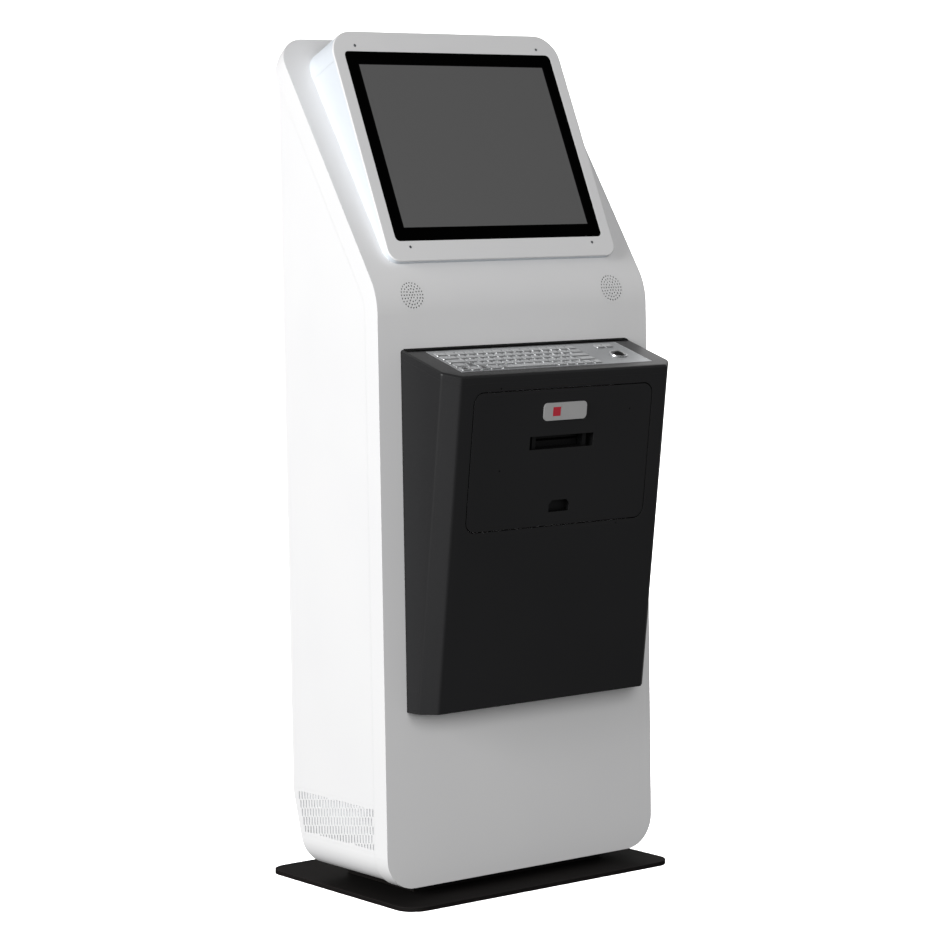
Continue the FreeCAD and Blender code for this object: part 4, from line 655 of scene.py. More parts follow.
@dataclass(frozen=True)
class Slope:
    """A flat face of the kiosk that leans about the X axis."""

    origin: Spot
    angle: float

    def to_world(self, points: np.ndarray) -> np.ndarray:
        """Turn points of the face into world points.

        From the origin, world y is y cos(angle) - z sin(angle) and world z is y sin(angle) + z cos(angle).

        Args:
            points: any array whose last axis is x, y, z on the face, with z off the face.

        Returns:
            An array of the same shape.
        """
        turned = np.array(points, dtype=float)
        y, z = points[..., 1], points[..., 2]
        turned[..., 1] = y * math.cos(self.angle) - z * math.sin(self.angle)
        turned[..., 2] = y * math.sin(self.angle) + z * math.cos(self.angle)
        return turned + np.array(self.origin)

    def shapes(self, shapes: np.ndarray) -> Block:
        """Stacks of rings on the face, as world points and quads."""
        points, faces = stacked(shapes)
        return self.to_world(points), faces

    def prisms(self, rings: np.ndarray, low: float, high: float) -> Block:
        """Blocks through outlines on the face, as world points and quads."""
        points, faces = prisms(rings, low, high)
        return self.to_world(points), faces


def deck_face() -> Slope:
    """The console's deck, whose upper edge lies on the cabinet's front."""
    return Slope((0.0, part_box("front_panel")[0].y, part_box("console_deck")[1].z), DECK_SLOPE)


class Finishes:
    """All the kiosk's materials, made once and shared."""

    def __init__(self, glass_centre: Spot) -> None:
        """Build each material from its finish.

        Args:
            glass_centre: middle of the touch glass.
        """
        # Dull white with a fine peel; it takes the light evenly and shows no mirror image, and its lighter
        # edges are painted highlight
        self.white = PowderCoat("powder_coat_white", "#ececec", shade="#e6e6e7", edge_wear_and_highlight="#f4f4f3",
                                specular=0.35).build()
        # Dull black that hardly mirrors the white sheet beside it; its grey edges are partly wear, partly
        # painted highlight
        self.black = PowderCoat("powder_coat_black", "#242425", shade="#282829", edge_wear_and_highlight="#3d3d3e",
                                roughness=0.45, specular=0.13, peel=1.6 * MM).build()
        # The same black where wrists polish it: satin, grey at a glancing look; its grey edges are partly
        # wear, partly painted highlight
        self.deck = PowderCoat("powder_coat_black_deck", "#1d1d1e", shade="#222223", edge_wear_and_highlight="#3d3d3e",
                               roughness=0.36, specular=0.55, peel=1.6 * MM).build()
        # The housing's bands: the same white coat made darker and cooler as painted shade on the bands, with
        # lighter edges that are painted highlight
        self.white_painted_shade = PowderCoat("powder_coat_white_painted_shade", "#d4d9df", shade="#dae0e6", edge_wear_and_highlight="#eef1f4",
                               specular=0.35).build()
        # The same black on thick plate, its edges rubbed by shoes and mops
        self.floor = PowderCoat("powder_coat_floor_plate", "#171616", shade="#211f1e", edge_wear_and_highlight="#454240",
                                roughness=0.6, specular=0.02, peel=2 * MM, edge=1.6 * MM).build()
        # Brushed sheet round the keys: mid grey with lines along the keyboard
        self.plate = BrushedMetal("stainless_brushed_plate", "#e0e2e4", dark="#bec0c2", roughness=0.4).build()
        # Key tops: a lighter, duller steel
        self.key = BrushedMetal("stainless_key_tops", "#f6f7f8", dark="#dcdee0", roughness=0.3).build()
        # Baked enamel in the sunk marks of three keys: near black, smooth
        self.enamel = MouldedPlastic("enamel_key_inlays", "#0b0b0c", shade="#101011", roughness=0.3,
                                     relief=0.005 * MM).build()
        # Bright chromed collar that mirrors the room round the ball
        self.chrome = PolishedMetal("chrome_ring", "#f0f1f3", roughness=0.22).build()
        # Etched glass with next to no mirror image
        self.glass = PrintedGlass("touch_glass_printed", "#656565", border="#010101", specular=0.02,
                                  centre=glass_centre).build()
        # Moulded frame behind the glass, black so that no edge shows through
        self.display = MouldedPlastic("abs_display_frame", "#242426").build()
        # Spark-eroded black plastic, dull and even
        self.dark = MouldedPlastic("abs_dark_parts", "#0e0e0f", shade="#141415", roughness=0.5,
                                   specular=0.3).build()
        # Silver-grey lacquered plastic with a soft sheen
        self.silver = MouldedPlastic("abs_silver_lacquered", "#b4b4b3", shade="#acacad", roughness=0.35,
                                     coat=0.3).build()
        # Clear red plastic over a dark hollow
        self.red = MouldedPlastic("acrylic_red_window", "#d0273c", shade="#b51d31", roughness=0.15,
                                  coat=1.0, relief=0.005 * MM).build()
        # Hard glossy ball, nearly black, that mirrors the lights
        self.ball = MouldedPlastic("phenolic_ball", "#0a0a0b", shade="#0d0d0e", roughness=0.06, coat=1.0,
                                   relief=0.001 * MM).build()
        # Plated steel: cool grey with cloudy patches
        self.zinc = ZincPlate("zinc_plated_steel", "#b9bec3").build()
        # Blackened screws: dark metal with a faint sheen
        self.blackened = ZincPlate("black_oxide_steel", "#1d1d1f", cloud="#131314", roughness=0.45).build()
        # Receipt roll: warm white and quite matt
        self.paper = Paper("thermal_paper", "#f1f0ec").build()
        # Pressed paper cones that stay dark behind the speaker holes
        self.cone = Paper("speaker_cone_paper", "#232323", shade="#1a1a1a").build()
        # Soft black rubber that gives back hardly any light
        self.seal = MouldedPlastic("epdm_rubber_seal", "#060606", shade="#090909", roughness=0.75,
                                   specular=0.15).build()
        # Pale matt mat that fills the vent's slots with light grey
        self.foam = Foam("polyurethane_filter_foam", "#cfd1d3", pore_colour="#b2b4b6").build()
        # Black weave that darkens the speaker holes without a mirror image
        self.cloth = Cloth("acoustic_cloth_black", "#191919").build()
        # Bright machined metal of the locks
        self.nickel = PolishedMetal("nickel_plated_brass", "#c9c7c0", roughness=0.2).build()


@dataclass
class Assembly:
    """A sub-assembly: the shared finishes, and which of them each CAD node gets."""

    finishes: Finishes
    dressed: tuple[tuple[str, tuple[str, ...]], ...] = ()

    def dress(self) -> None:
        """Put each finish into every material slot of its CAD nodes."""
        for finish, nodes in self.dressed:
            for node in nodes:
                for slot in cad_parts[node].material_slots:
                    slot.material = getattr(self.finishes, finish)
            log.info("%s on %s", finish, ", ".join(nodes))


@dataclass
class Cabinet(Assembly):
    """The white sheet cabinet with its vents, base and speakers."""

    dressed: tuple[tuple[str, tuple[str, ...]], ...] = (
        ("white", ("cabinet_wrap", "rear_panel", "front_panel", "speaker_grille_left", "speaker_grille_right",
                   "rear_door_panel", "screen_bezel")),
        ("floor", ("floor_plate", "plinth")),
        ("zinc", ("plinth_bolts", "door_hinge_frames", "door_hinge_leaves", "equipment_shelf",
                  "display_rails", "power_supply", "bezel_screws")),
        ("nickel", ("lock_plug_upper", "lock_plug_lower", "lock_housings")),
        ("dark", ("controller_box", "fan_frame", "fan_rotor", "mains_inlet", "mains_switch")),
        ("cone", ("speaker_drivers",)),
        # The bands get the darker copy of the white coat, which is painted shade
        ("white_painted_shade", ("screen_band_lower", "screen_band_upper")),
    )
    vent_low: float = 94 * MM
    vent_high: float = 166 * MM
    vent_front: float = -117 * MM
    vent_rear: float = 118 * MM
    vent_lean: float = math.radians(16)
    heel_lean: float = math.radians(15.7)
    slot_width: float = 3.5 * MM
    slot_length: float = 14.2 * MM
    slot_corner: float = 0.8 * MM
    slot_pitch_y: float = 8.7 * MM
    slot_pitch_z: float = 15.6 * MM
    slot_rise: float = math.radians(8.5)
    slot_rows: tuple[int, int] = (-3, 7)
    slot_columns: int = 28
    vent_face: float = 299 * MM
    vent_sheet: float = 1 * MM
    mat_thickness: float = 0.85 * MM
    mat_gap: float = 0.05 * MM
    speaker_x: float = 222.5 * MM
    cloth_radius: float = 25 * MM
    cloth_thickness: float = 0.6 * MM
    knee_centre: tuple[float, float] = (-50 * MM, 1023.6 * MM)
    knee_inner: float = 105.9 * MM
    knee_turn: float = math.radians(16.7)

    def slot_rings(self) -> np.ndarray:
        """Outlines of the slots, in y and z.

        Slots stand in rows a pitch apart, every second row shifted by half the pitch along y. A row climbs
        toward the front by the tangent of its rise, and slots are cut off at the vent's top and bottom.

        Returns:
            Slots by points by y and z.
        """
        row, column = np.meshgrid(np.arange(*self.slot_rows), np.arange(self.slot_columns), indexing="ij")
        y = self.vent_front + self.slot_width / 2 + (column + row % 2 / 2) * self.slot_pitch_y
        middle = self.vent_low + row * self.slot_pitch_z + (self.vent_rear - y) * math.tan(self.slot_rise)
        top = np.minimum(self.vent_high, middle + self.slot_length / 2)
        foot = np.maximum(self.vent_low, middle - self.slot_length / 2)
        limit = self.vent_rear - (self.vent_high - foot) * math.tan(self.vent_lean)
        kept = (top - foot > self.slot_width / 2) & (y + self.slot_width / 2 < limit)
        y, top, foot = y[kept], top[kept], foot[kept]
        width, corner = (np.full(len(y), size) for size in (self.slot_width, self.slot_corner))
        rings = rounded_ring(width, top - foot, corner, 3)
        return rings + np.stack((y, (top + foot) / 2), axis=-1)[:, None]

    def build_vents(self) -> None:
        """Slotted sheets in both sides, each over a foam filter mat.

        The sheet and the mat are blocks in the CAD vent's outline, and local x and y stand for world y and z.
        """
        low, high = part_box("vent_left")
        rear = high.y - (high.z - low.z) * math.tan(self.heel_lean)
        outline = np.array([(low.y, low.z), (rear, low.z), (high.y, high.z), (low.y, high.z)])
        share = np.linspace(0, 1, 6, endpoint=False)[:, None]
        ring = np.concatenate([outline[k] + share * (outline[(k + 1) % 4] - outline[k]) for k in range(4)])
        inner = self.vent_face - self.vent_sheet
        back = inner - self.mat_gap
        for side, name in ((-1, "left"), (1, "right")):
            blocks = []
            for shapes, start, end in (
                (ring[None], inner, self.vent_face),
                (ring[None], back - self.mat_thickness, back),
                (self.slot_rings(), inner - self.vent_sheet, self.vent_face + self.vent_sheet),
            ):
                points, faces = prisms(shapes, start, end)
                blocks.append((np.stack((side * points[:, 2], points[:, 0], points[:, 1]), axis=-1), faces))
            sheet, mat, slots = blocks
            add_piece(f"vent_sheet_{name}", sheet, self.finishes.white, "cabinet", "white_sheet",
                      f"vent_{name}", tools=[slots])
            add_piece(f"filter_mat_{name}", mat, self.finishes.foam, "cabinet", "white_sheet")

    def build_cloths(self) -> None:
        """Cloth discs behind the speaker holes, bent as the sheet is.

        A point at radius r and angle t lies r sin t along the bend, so its turn about the bend's middle is
        the half bend plus r sin t over the bend's radius.
        """
        share = np.array([0.0, 0.5, 0.97, 1.0, 1.0, 0.97, 0.5, 0.0])
        depth = np.array([0.0, 0.0, 0.0, 1 / 6, 5 / 6, 1.0, 1.0, 1.0])[:, None] * self.cloth_thickness
        across, around = np.moveaxis(circles(share * self.cloth_radius, 36), -1, 0)
        along = self.knee_turn + around / self.knee_inner
        radius = self.knee_inner - depth
        y = self.knee_centre[0] - radius * np.cos(along)
        z = self.knee_centre[1] + radius * np.sin(along)
        for side, name in ((-1, "speaker_cloth_left"), (1, "speaker_cloth_right")):
            rings = np.stack((side * self.speaker_x + across, y, z), axis=-1)
            add_piece(name, stacked(rings[None]), self.finishes.cloth, "cabinet", "dark_plastic")

    def build(self) -> None:
        """Dress the cabinet and add what stands behind its openings."""
        self.dress()
        self.build_vents()
        self.build_cloths()


@dataclass
class RearDoor(Assembly):
    """What the closed rear door shows besides its panel: seal, louvre hoods and the hinges' screws."""

    width: float = 490 * MM
    height: float = 1090 * MM
    sill: float = 268 * MM
    gap: float = 2.5 * MM
    seal_radius: float = 0.8 * MM
    seal_depth: float = 3 * MM
    louvres: int = 9
    louvre_length: float = 120 * MM
    louvre_pitch: float = 14 * MM
    hood_drop: float = 73.2 * MM
    hood_lap: float = 2 * MM
    hood_height: float = 9 * MM
    hood_reach: float = 3.6 * MM
    hood_sheet: float = 1 * MM
    hood_end: float = 0.03
    clear: float = 0.02 * MM
    hinge_inset: float = 110 * MM
    leaf: float = 2 * MM
    screw_offset: float = 14.52 * MM
    screw_step: float = 20 * MM
    screw_radius: float = 2.6 * MM
    screw_height: float = 1.4 * MM

    def build_seal(self, face: float) -> None:
        """Round rubber bead that runs in the middle of the gap round the door.

        Args:
            face: y of the door's outer face.
        """
        section = (self.seal_radius, self.seal_radius)
        rings = bead((self.width, self.height), 0.0, self.gap / 2, section, (8, 4))
        points = np.stack((rings[..., 0], face - self.seal_depth + rings[..., 2],
                           rings[..., 1] + self.sill + self.height / 2), axis=-1)
        add_piece("door_seal", stacked(points[None]), self.finishes.seal, "cabinet", "dark_plastic")

    def build_hoods(self, face: float) -> None:
        """Pressed hoods over the louvre slots.

        A hood's section is a quarter ellipse from its root above the slot down to its lip, with a sheet's
        thickness inside it. Carried along x, its reach is the square root of one minus the eighth power of
        the share of the half length.

        Args:
            face: y of the door's outer face.
        """
        turn = np.linspace(0, math.pi / 2, 7)
        arc = np.stack((np.sin(turn), np.cos(turn)), axis=-1)
        size = np.array([self.hood_reach, self.hood_height])
        section = np.concatenate((arc * size, (arc * (size - self.hood_sheet))[::-1]))
        share = np.linspace(-1, 1, 25)[:, None]
        reach = np.maximum(np.sqrt(np.maximum(1 - share ** 8, 0.0)), self.hood_end)
        rings = np.stack(np.broadcast_arrays(
            share * (self.louvre_length / 2 + self.hood_lap),
            face + self.clear + section[:, 0] * reach,
            self.sill + self.height - self.hood_drop + section[:, 1],
        ), axis=-1)
        caps = np.broadcast_to(rings[[0, -1]].mean(axis=1)[:, None], (2,) + rings.shape[1:])
        rings = np.concatenate((caps[:1], rings, caps[1:]), axis=0)
        falls = np.arange(self.louvres)[:, None] * np.array([0.0, 0.0, -self.louvre_pitch])
        add_piece("louvre_hoods", stacked(rings + falls[:, None, None]), self.finishes.white, "rear_door",
                  "white_sheet")

    def build_screws(self, face: float) -> None:
        """Three pan heads with round sockets on each half of each hinge.

        The head's profile, in shares of its radius and height, is a low dome, its rim and the socket's wall
        and floor, turned about the screw's axis.

        Args:
            face: y of the door's outer face.
        """
        profile = np.array([
            (0.0, 0.0), (1.0, 0.0), (1.0, 0.35), (0.92, 0.75), (0.7, 1.0), (0.46, 1.0), (0.42, 0.92),
            (0.4, 0.3), (0.0, 0.3),
        ]) * np.array([self.screw_radius, self.screw_height])
        head = lifted(circles(profile[:, 0], 20), profile[:, 1])
        reach = self.height / 2 - self.hinge_inset
        steps = np.array([-1, 0, 1])
        heights = (self.sill + self.height / 2 + steps[:, None] * reach + steps * self.screw_step).ravel()
        rear = Slope((0.0, face, 0.0), -math.pi / 2)
        for side, body, name in (
            (1, "cabinet", "hinge_screws_frame"), (-1, "rear_door", "hinge_screws_door"),
        ):
            x = self.width / 2 + self.gap / 2 + side * self.screw_offset
            spots = np.stack(np.broadcast_arrays(x, -heights, self.leaf), axis=-1)
            add_piece(name, rear.shapes(spots[:, None, None] + head), self.finishes.zinc, body, "zinc_steel")

    def build(self) -> None:
        """Add every piece of the door."""
        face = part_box("rear_panel")[1].y
        self.build_seal(face)
        self.build_hoods(face)
        self.build_screws(face)


@dataclass
class ScreenHead(Assembly):
    """The touch screen and the black seal round its glass."""

    dressed: tuple[tuple[str, tuple[str, ...]], ...] = (
        ("glass", ("touch_glass",)), ("display", ("display_panel",)),
    )
    seal_radius: float = 0.5 * MM
    seal_offset: float = 0.2 * MM
    glass_width: float = 459 * MM
    glass_height: float = 361 * MM
    glass_corner: float = 9 * MM
    thickness: float = 3 * MM

    @staticmethod
    def centre() -> Vector:
        """Middle of the glass, from its CAD node."""
        low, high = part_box("touch_glass")
        return (low + high) / 2

    def build(self) -> None:
        """Dress the screen and add a round bead in the joint between glass and bezel."""
        self.dress()
        normal = Vector((0, -math.sin(GLASS_TILT), math.cos(GLASS_TILT)))
        origin = self.centre() + normal * (self.thickness / 2 - self.seal_radius)
        rings = bead((self.glass_width, self.glass_height), self.glass_corner, self.seal_offset,
                     (self.seal_radius, self.seal_radius), (8, 10))
        add_piece("glass_seal", Slope(tuple(origin), GLASS_TILT).shapes(rings[None]), self.finishes.seal,
                  "cabinet", "dark_plastic")


@dataclass
class Keyboard(Assembly):
    """Metal keyboard on the sloping deck: five rows of caps, two mouse keys and the trackball."""

    dressed: tuple[tuple[str, tuple[str, ...]], ...] = (
        ("dark", ("keyboard_tray",)), ("ball", ("trackball",)),
    )
    width: float = 424 * MM
    depth: float = 107 * MM
    back: float = 16.5 * MM
    plate_corner: float = 2 * MM
    plate_gap: float = 0.2 * MM
    plate_thickness: float = 2.8 * MM
    first_row: float = 18.5 * MM
    left: float = 6 * MM
    pitch_x: float = 20.35 * MM
    pitch_v: float = 18.6 * MM
    gap: float = 3.4 * MM
    mouse_x: float = 159.5 * MM
    rise: float = 1.9 * MM
    skirt: float = 1.3 * MM
    corner: float = 2.2 * MM
    draft: float = 0.9 * MM
    crown: float = 0.3 * MM
    crown_drop: float = 0.25 * MM
    dish: float = 0.35 * MM
    # Where the drafted side starts, as a share of the rise, and how the corners shrink on the way up
    side_start: float = 0.3
    corner_draft: float = 0.5
    dish_corner: float = 0.8
    dish_shares: tuple[float, ...] = (0.66, 0.33, 0.0)
    room: float = 0.5 * MM
    cut: float = 6 * MM
    ball: tuple[float, float] = (168 * MM, -80 * MM)
    ball_room: float = 13.3 * MM
    ring_width: float = 3.6 * MM
    ring_height: float = 2.4 * MM
    sink: float = 0.02 * MM
    trim: float = 1.1 * MM
    trim_rise: float = 0.35 * MM
    inlay_width: float = 10 * MM
    inlay_depth: float = 8 * MM
    inlay_corner: float = 1.6 * MM
    rows: tuple[tuple[float, ...], ...] = (
        (1.25,) + (1,) * 14,
        (1.75,) + (1,) * 12 + (1.5,),
        (2,) + (1,) * 11 + (2.25,),
        (1.25,) + (1,) * 12 + (2,),
        (1, 1, 1, 1.25, 6, 1, 1, 1, 1, 1),
    )
    enter: tuple[int, int] = (2, 12)
    space: tuple[int, int] = (4, 4)
    marked: tuple[tuple[int, int], ...] = ((3, 1), (4, 0), (4, 2))

    def spots(self, row: int) -> np.ndarray:
        """Places of a row's caps, each after the one before by its width in pitches.

        Args:
            row: the row, from the rear.

        Returns:
            Centre x, centre y and pitch width on the deck, one row for each cap.
        """
        widths = np.array(self.rows[row], dtype=float) * self.pitch_x
        starts = -self.width / 2 + self.left + np.concatenate(([0.0], np.cumsum(widths)[:-1]))
        y = np.full_like(widths, -(self.back + self.first_row + row * self.pitch_v))
        return np.stack((starts + widths / 2, y, widths), axis=-1)

    def mouse_spots(self) -> np.ndarray:
        """Places of the two mouse keys, as for a row."""
        y = -(self.back + self.first_row)
        return np.array([[self.mouse_x + index * self.pitch_x, y, self.pitch_x] for index in range(2)])

    def middle(self) -> np.ndarray:
        """Middle of the plate on the deck."""
        return np.array([0.0, -(self.back + self.depth / 2)])

    def add_caps(self, name: str, spots: np.ndarray, node: str) -> None:
        """Make caps that ride with a key body and stand for its CAD node.

        Each cap is a stack of rounded rectangles: straight skirt, drafted side, a small round at the crown
        and then rings that shrink to the middle of a dished top, whose depth falls as one minus the ring's
        share squared.

        Args:
            name: the piece's name.
            spots: centre x, centre y and pitch width, one row for each cap.
            node: the CAD node, which has its body's name.
        """
        inset = np.array([0.0, 0.0, self.draft, self.draft + self.crown])
        share = np.array(self.dish_shares)
        sides = [-self.skirt, self.rise * self.side_start, self.rise - self.crown_drop, self.rise]
        levels = np.concatenate((sides, self.rise - self.dish * (1 - share ** 2)))
        radius = np.concatenate((self.corner - inset * self.corner_draft,
                                 self.corner * self.dish_corner * share))
        deep = self.pitch_v - self.gap
        depths = np.concatenate((deep - 2 * inset, (deep - 2 * inset[-1]) * share))
        caps = []
        for x, y, pitch in spots:
            wide = pitch - self.gap
            widths = np.concatenate((wide - 2 * inset, (wide - 2 * inset[-1]) * share))
            caps.append(lifted(rounded_ring(widths, depths, radius, 5), levels) + np.array([x, y, 0.0]))
        add_piece(name, deck_face().shapes(np.stack(caps)), self.finishes.key, node, "key_metal", node)

    def build_plate(self) -> None:
        """Brushed plate that fills the deck's opening, with a hole for each key and for the ball."""
        deck = deck_face()
        outline = one_ring(self.width - 2 * self.plate_gap, self.depth - 2 * self.plate_gap,
                           self.plate_corner, 4)
        table = np.concatenate([self.spots(row) for row in range(len(self.rows))] + [self.mouse_spots()])
        wide = table[:, 2] - self.gap + 2 * self.room
        deep, corner = (np.full(len(table), size) for size in (
            self.pitch_v - self.gap + 2 * self.room, self.corner + self.room,
        ))
        keys = rounded_ring(wide, deep, corner, 4) + table[:, None, :2]
        ball = circles(np.array([self.ball_room]), 48) + np.array(self.ball)
        add_piece("plate", deck.prisms(outline + self.middle(), -self.plate_thickness, 0.0),
                  self.finishes.plate, "cabinet", "brushed_plate", "keyboard_plate",
                  tools=[deck.prisms(shapes, -self.cut, self.cut) for shapes in (keys, ball)])

    def build_ring(self) -> None:
        """Chromed collar round the ball: a half round section on a short wall."""
        bend = np.linspace(0, math.pi, 9)
        half = self.ring_width / 2
        inner, outer = self.ball_room, self.ball_room + self.ring_width
        radius = np.concatenate((self.ball_room + half + half * np.cos(bend), [inner, outer]))
        tall = np.concatenate((self.ring_height * np.sqrt(np.sin(bend)), [-self.sink, -self.sink]))
        rings = lifted(circles(radius, 64) + np.array(self.ball), tall)
        rings = np.concatenate((rings, rings[:1]), axis=0)
        add_piece("ball_ring", deck_face().shapes(rings[None]), self.finishes.chrome, "cabinet",
                  "bright_chrome", "trackball_ring")

    def build_inlays(self) -> None:
        """Enamelled marks sunk in three key tops, each a thin rounded tablet."""
        share = np.array([0.0, 0.6, 0.96, 1.0, 1.0, 0.0])
        level = self.rise + np.array([-0.06, -0.06, -0.06, -0.12, -0.5, -0.5]) * MM
        tablet = lifted(rounded_ring(self.inlay_width * share, self.inlay_depth * share,
                                     self.inlay_corner * share, 5), level)
        for row, index in self.marked:
            x, y, _ = self.spots(row)[index]
            block = deck_face().shapes((tablet + np.array([x, y, 0.0]))[None])
            add_piece(f"key_inlay_{row + 1}_{index + 1}", block, self.finishes.enamel, f"keys_row_{row + 1}",
                      "key_metal")

    def build_trim(self) -> None:
        """Bright ground edge round the plate: a low round bead on its outline."""
        rings = bead((self.width, self.depth), self.plate_corner, -self.trim / 2,
                     (self.trim / 2, self.trim_rise), (10, 4))
        rings = rings + np.append(self.middle(), 0.0)
        add_piece("plate_edge", deck_face().shapes(rings[None]), self.finishes.key, "cabinet", "key_metal")

    def build(self) -> None:
        """Make every cap and mark, and dress the plate, ring and ball."""
        for row in range(len(self.rows)):
            apart = [index for key_row, index in (self.enter, self.space) if key_row == row]
            kept = np.delete(self.spots(row), apart, axis=0)
            self.add_caps(f"caps_row_{row + 1}", kept, f"keys_row_{row + 1}")
        for name, node, (row, index) in (("cap_enter", "enter_key", self.enter),
                                         ("cap_space", "space_bar", self.space)):
            self.add_caps(name, self.spots(row)[[index]], node)
        for index, node in enumerate(("mouse_key_left", "mouse_key_right")):
            self.add_caps(f"cap_{node}", self.mouse_spots()[[index]], node)
        self.build_inlays()
        self.build_trim()
        self.build_plate()
        self.build_ring()
        self.dress()


@dataclass
class Console(Assembly):
    """The black console, its flap and what the flap carries."""

    dressed: tuple[tuple[str, tuple[str, ...]], ...] = (
        ("black", ("flap_panel",)),
        ("dark", ("flap_pull", "receipt_throat", "reader_body", "receipt_printer")),
        ("zinc", ("flap_hinge_arms", "flap_hinge_pins", "printer_chassis", "paper_spindle")),
        ("blackened", ("flap_screws", "console_screws")),
        ("silver", ("reader_bezel",)),
        ("red", ("reader_window",)),
        ("paper", ("paper_roll",)),
    )
    half: float = 253 * MM
    bottom: float = 336 * MM
    foot: float = 58 * MM
    lean: float = math.radians(7.9)
    bevel: float = 25 * MM
    bend: float = 9 * MM
    sheet: float = 2 * MM
    skirt: float = 14 * MM
    top_sheet: float = 3 * MM
    rim: float = 5 * MM
    # How far the hollow runs past the shell's rear, past its top, and down from the deck
    open_rear: float = 5 * MM
    open_top: float = 30 * MM
    open_down: float = 40 * MM
    cut: float = 10 * MM
    deck_cut: float = 20 * MM
    # Faces whose normal agrees this far with the deck's are part of the top
    top_facing: float = 0.4
    flap_width: float = 394 * MM
    flap_height: float = 241 * MM
    flap_corner: float = 19 * MM
    flap_gap: float = 2 * MM
    flap_middle: float = 769.5 * MM
    pins: tuple[tuple[float, float], ...] = ((-141.5 * MM, 895 * MM), (137.5 * MM, 643 * MM))
    pin_radius: float = 1.5 * MM
    strip_half: float = 247 * MM
    strip_width: float = 11.5 * MM
    strip_rise: float = 2 * MM
    strip_sink: float = 0.05 * MM

    def outline(self, inset: float) -> np.ndarray:
        """Plan of the console from its rear left corner round to its rear right one.

        The front corners are bevelled at 45 degrees, and each fold is an arc that turns by an eighth of a
        circle.

        Args:
            inset: how far the front and sides move inward.

        Returns:
            For each point, x, how far it lies behind the front face, and whether it moves with that face.
        """
        half, bevel = self.half - inset, self.bevel - BEVEL_SHARE * inset
        bend = self.bend - inset
        tangent = bend * math.tan(math.pi / 8)
        turn = np.linspace(0, math.pi / 4, 6)
        low = np.stack((-half + bend * (1 - np.cos(turn)), bevel + tangent - bend * np.sin(turn)), axis=-1)
        high = np.stack((-half + low[::-1, 1], low[::-1, 0] + half), axis=-1)
        left = np.concatenate((low, high))
        moving = np.concatenate((left, left[::-1] * np.array([-1.0, 1.0])))
        rows = np.concatenate((moving, np.ones((len(moving), 1))), axis=1)
        ends = np.array([(-half, 0.0, 0.0), (half, 0.0, 0.0)])
        return np.concatenate((ends[:1], rows, ends[1:]))

    def ring(self, inset: float, drop: float | None, behind: float = 0.0) -> np.ndarray:
        """World points of the console's outline, inset, at its foot or drop below the deck's face.

        The front face's y falls by the tangent of the lean for each step up, and a point drop below the deck
        has z = top - drop / cos(slope) + (y - front) tan(slope).

        Args:
            inset: how far the front and sides move inward.
            drop: depth below the deck's face, or None for the foot.
            behind: how far the rear ends reach into the cabinet.

        Returns:
            One row for each point.
        """
        _, front, top = deck_face().origin
        rows = self.outline(inset)
        base = front - self.foot + inset / math.cos(self.lean)
        fall, slope = math.tan(self.lean), math.tan(DECK_SLOPE)
        moving = rows[:, 2] > 0
        if drop is None:
            z = np.full(len(rows), self.bottom + inset)
        else:
            start = np.where(moving, base + rows[:, 1] - front + fall * self.bottom, behind)
            level = top - drop / math.cos(DECK_SLOPE) + start * slope
            z = level / (1 + np.where(moving, fall, 0.0) * slope)
        y = np.where(moving, base + rows[:, 1] - fall * (z - self.bottom), front + behind)
        return np.stack((rows[:, 0], y, z), axis=-1)

    @staticmethod
    def closed(*rings: np.ndarray) -> Block:
        """Points and quads of a block through the rings, each end drawn in to its middle."""
        ends = [np.broadcast_to(ring.mean(axis=0), ring.shape) for ring in (rings[0], rings[-1])]
        return stacked(np.stack([ends[0], *rings, ends[1]])[None])

    def build_shell(self) -> None:
        """Folded shell: a leaning block, hollowed from the rear, with the mouth of the flap and two holes."""
        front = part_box("front_panel")[0].y
        middle_y = front - self.foot - math.tan(self.lean) * (self.flap_middle - self.bottom)
        face = Slope((0.0, middle_y, self.flap_middle), math.pi / 2 + self.lean)
        mouth = one_ring(self.flap_width + 2 * self.flap_gap, self.flap_height + 2 * self.flap_gap,
                         self.flap_corner + self.flap_gap, 10)
        spots = np.array([(x, (z - self.flap_middle) / math.cos(self.lean)) for x, z in self.pins])
        holes = spots[:, None] + circles(np.array([self.pin_radius]), 16)
        hollow = self.closed(*(self.ring(self.sheet, drop, self.open_rear)
                               for drop in (None, -self.open_top)))
        add_piece("shell", self.closed(self.ring(0, None), self.ring(0, self.skirt)), self.finishes.black,
                  "cabinet", "black_sheet", "console_shell",
                  tools=[hollow] + [face.prisms(shapes, -self.cut, self.cut) for shapes in (mouth, holes)])

    def build_deck(self, keyboard: Keyboard) -> None:
        """Cap over the shell with a rounded rim, its skirt, and the keyboard's opening.

        The rim is a quarter circle: at turn t the outline is inset by r (1 - cos t) and lies r (1 - sin t)
        below the top. Only the top has the polished finish.

        Args:
            keyboard: what fits into the opening.
        """
        deck = deck_face()
        rim = [self.ring(self.rim * (1 - math.cos(turn)), self.rim * (1 - math.sin(turn)))
               for turn in np.linspace(0, math.pi / 2, 7)]
        hollow = self.closed(*(self.ring(self.sheet, drop, self.open_rear)
                               for drop in (self.open_down, self.top_sheet)))
        hole = one_ring(keyboard.width, keyboard.depth, keyboard.plate_corner, 4) + keyboard.middle()
        cap = add_piece("deck", self.closed(self.ring(0, self.skirt), *rim), self.finishes.deck, "cabinet",
                        "black_sheet", "console_deck",
                        tools=[hollow, deck.prisms(hole, -self.deck_cut, self.deck_cut)])
        cap.data.materials.append(self.finishes.black)
        upward = Vector((0.0, -math.sin(deck.angle), math.cos(deck.angle)))
        for face in cap.data.polygons:
            face.material_index = 0 if face.normal.dot(upward) > self.top_facing else 1

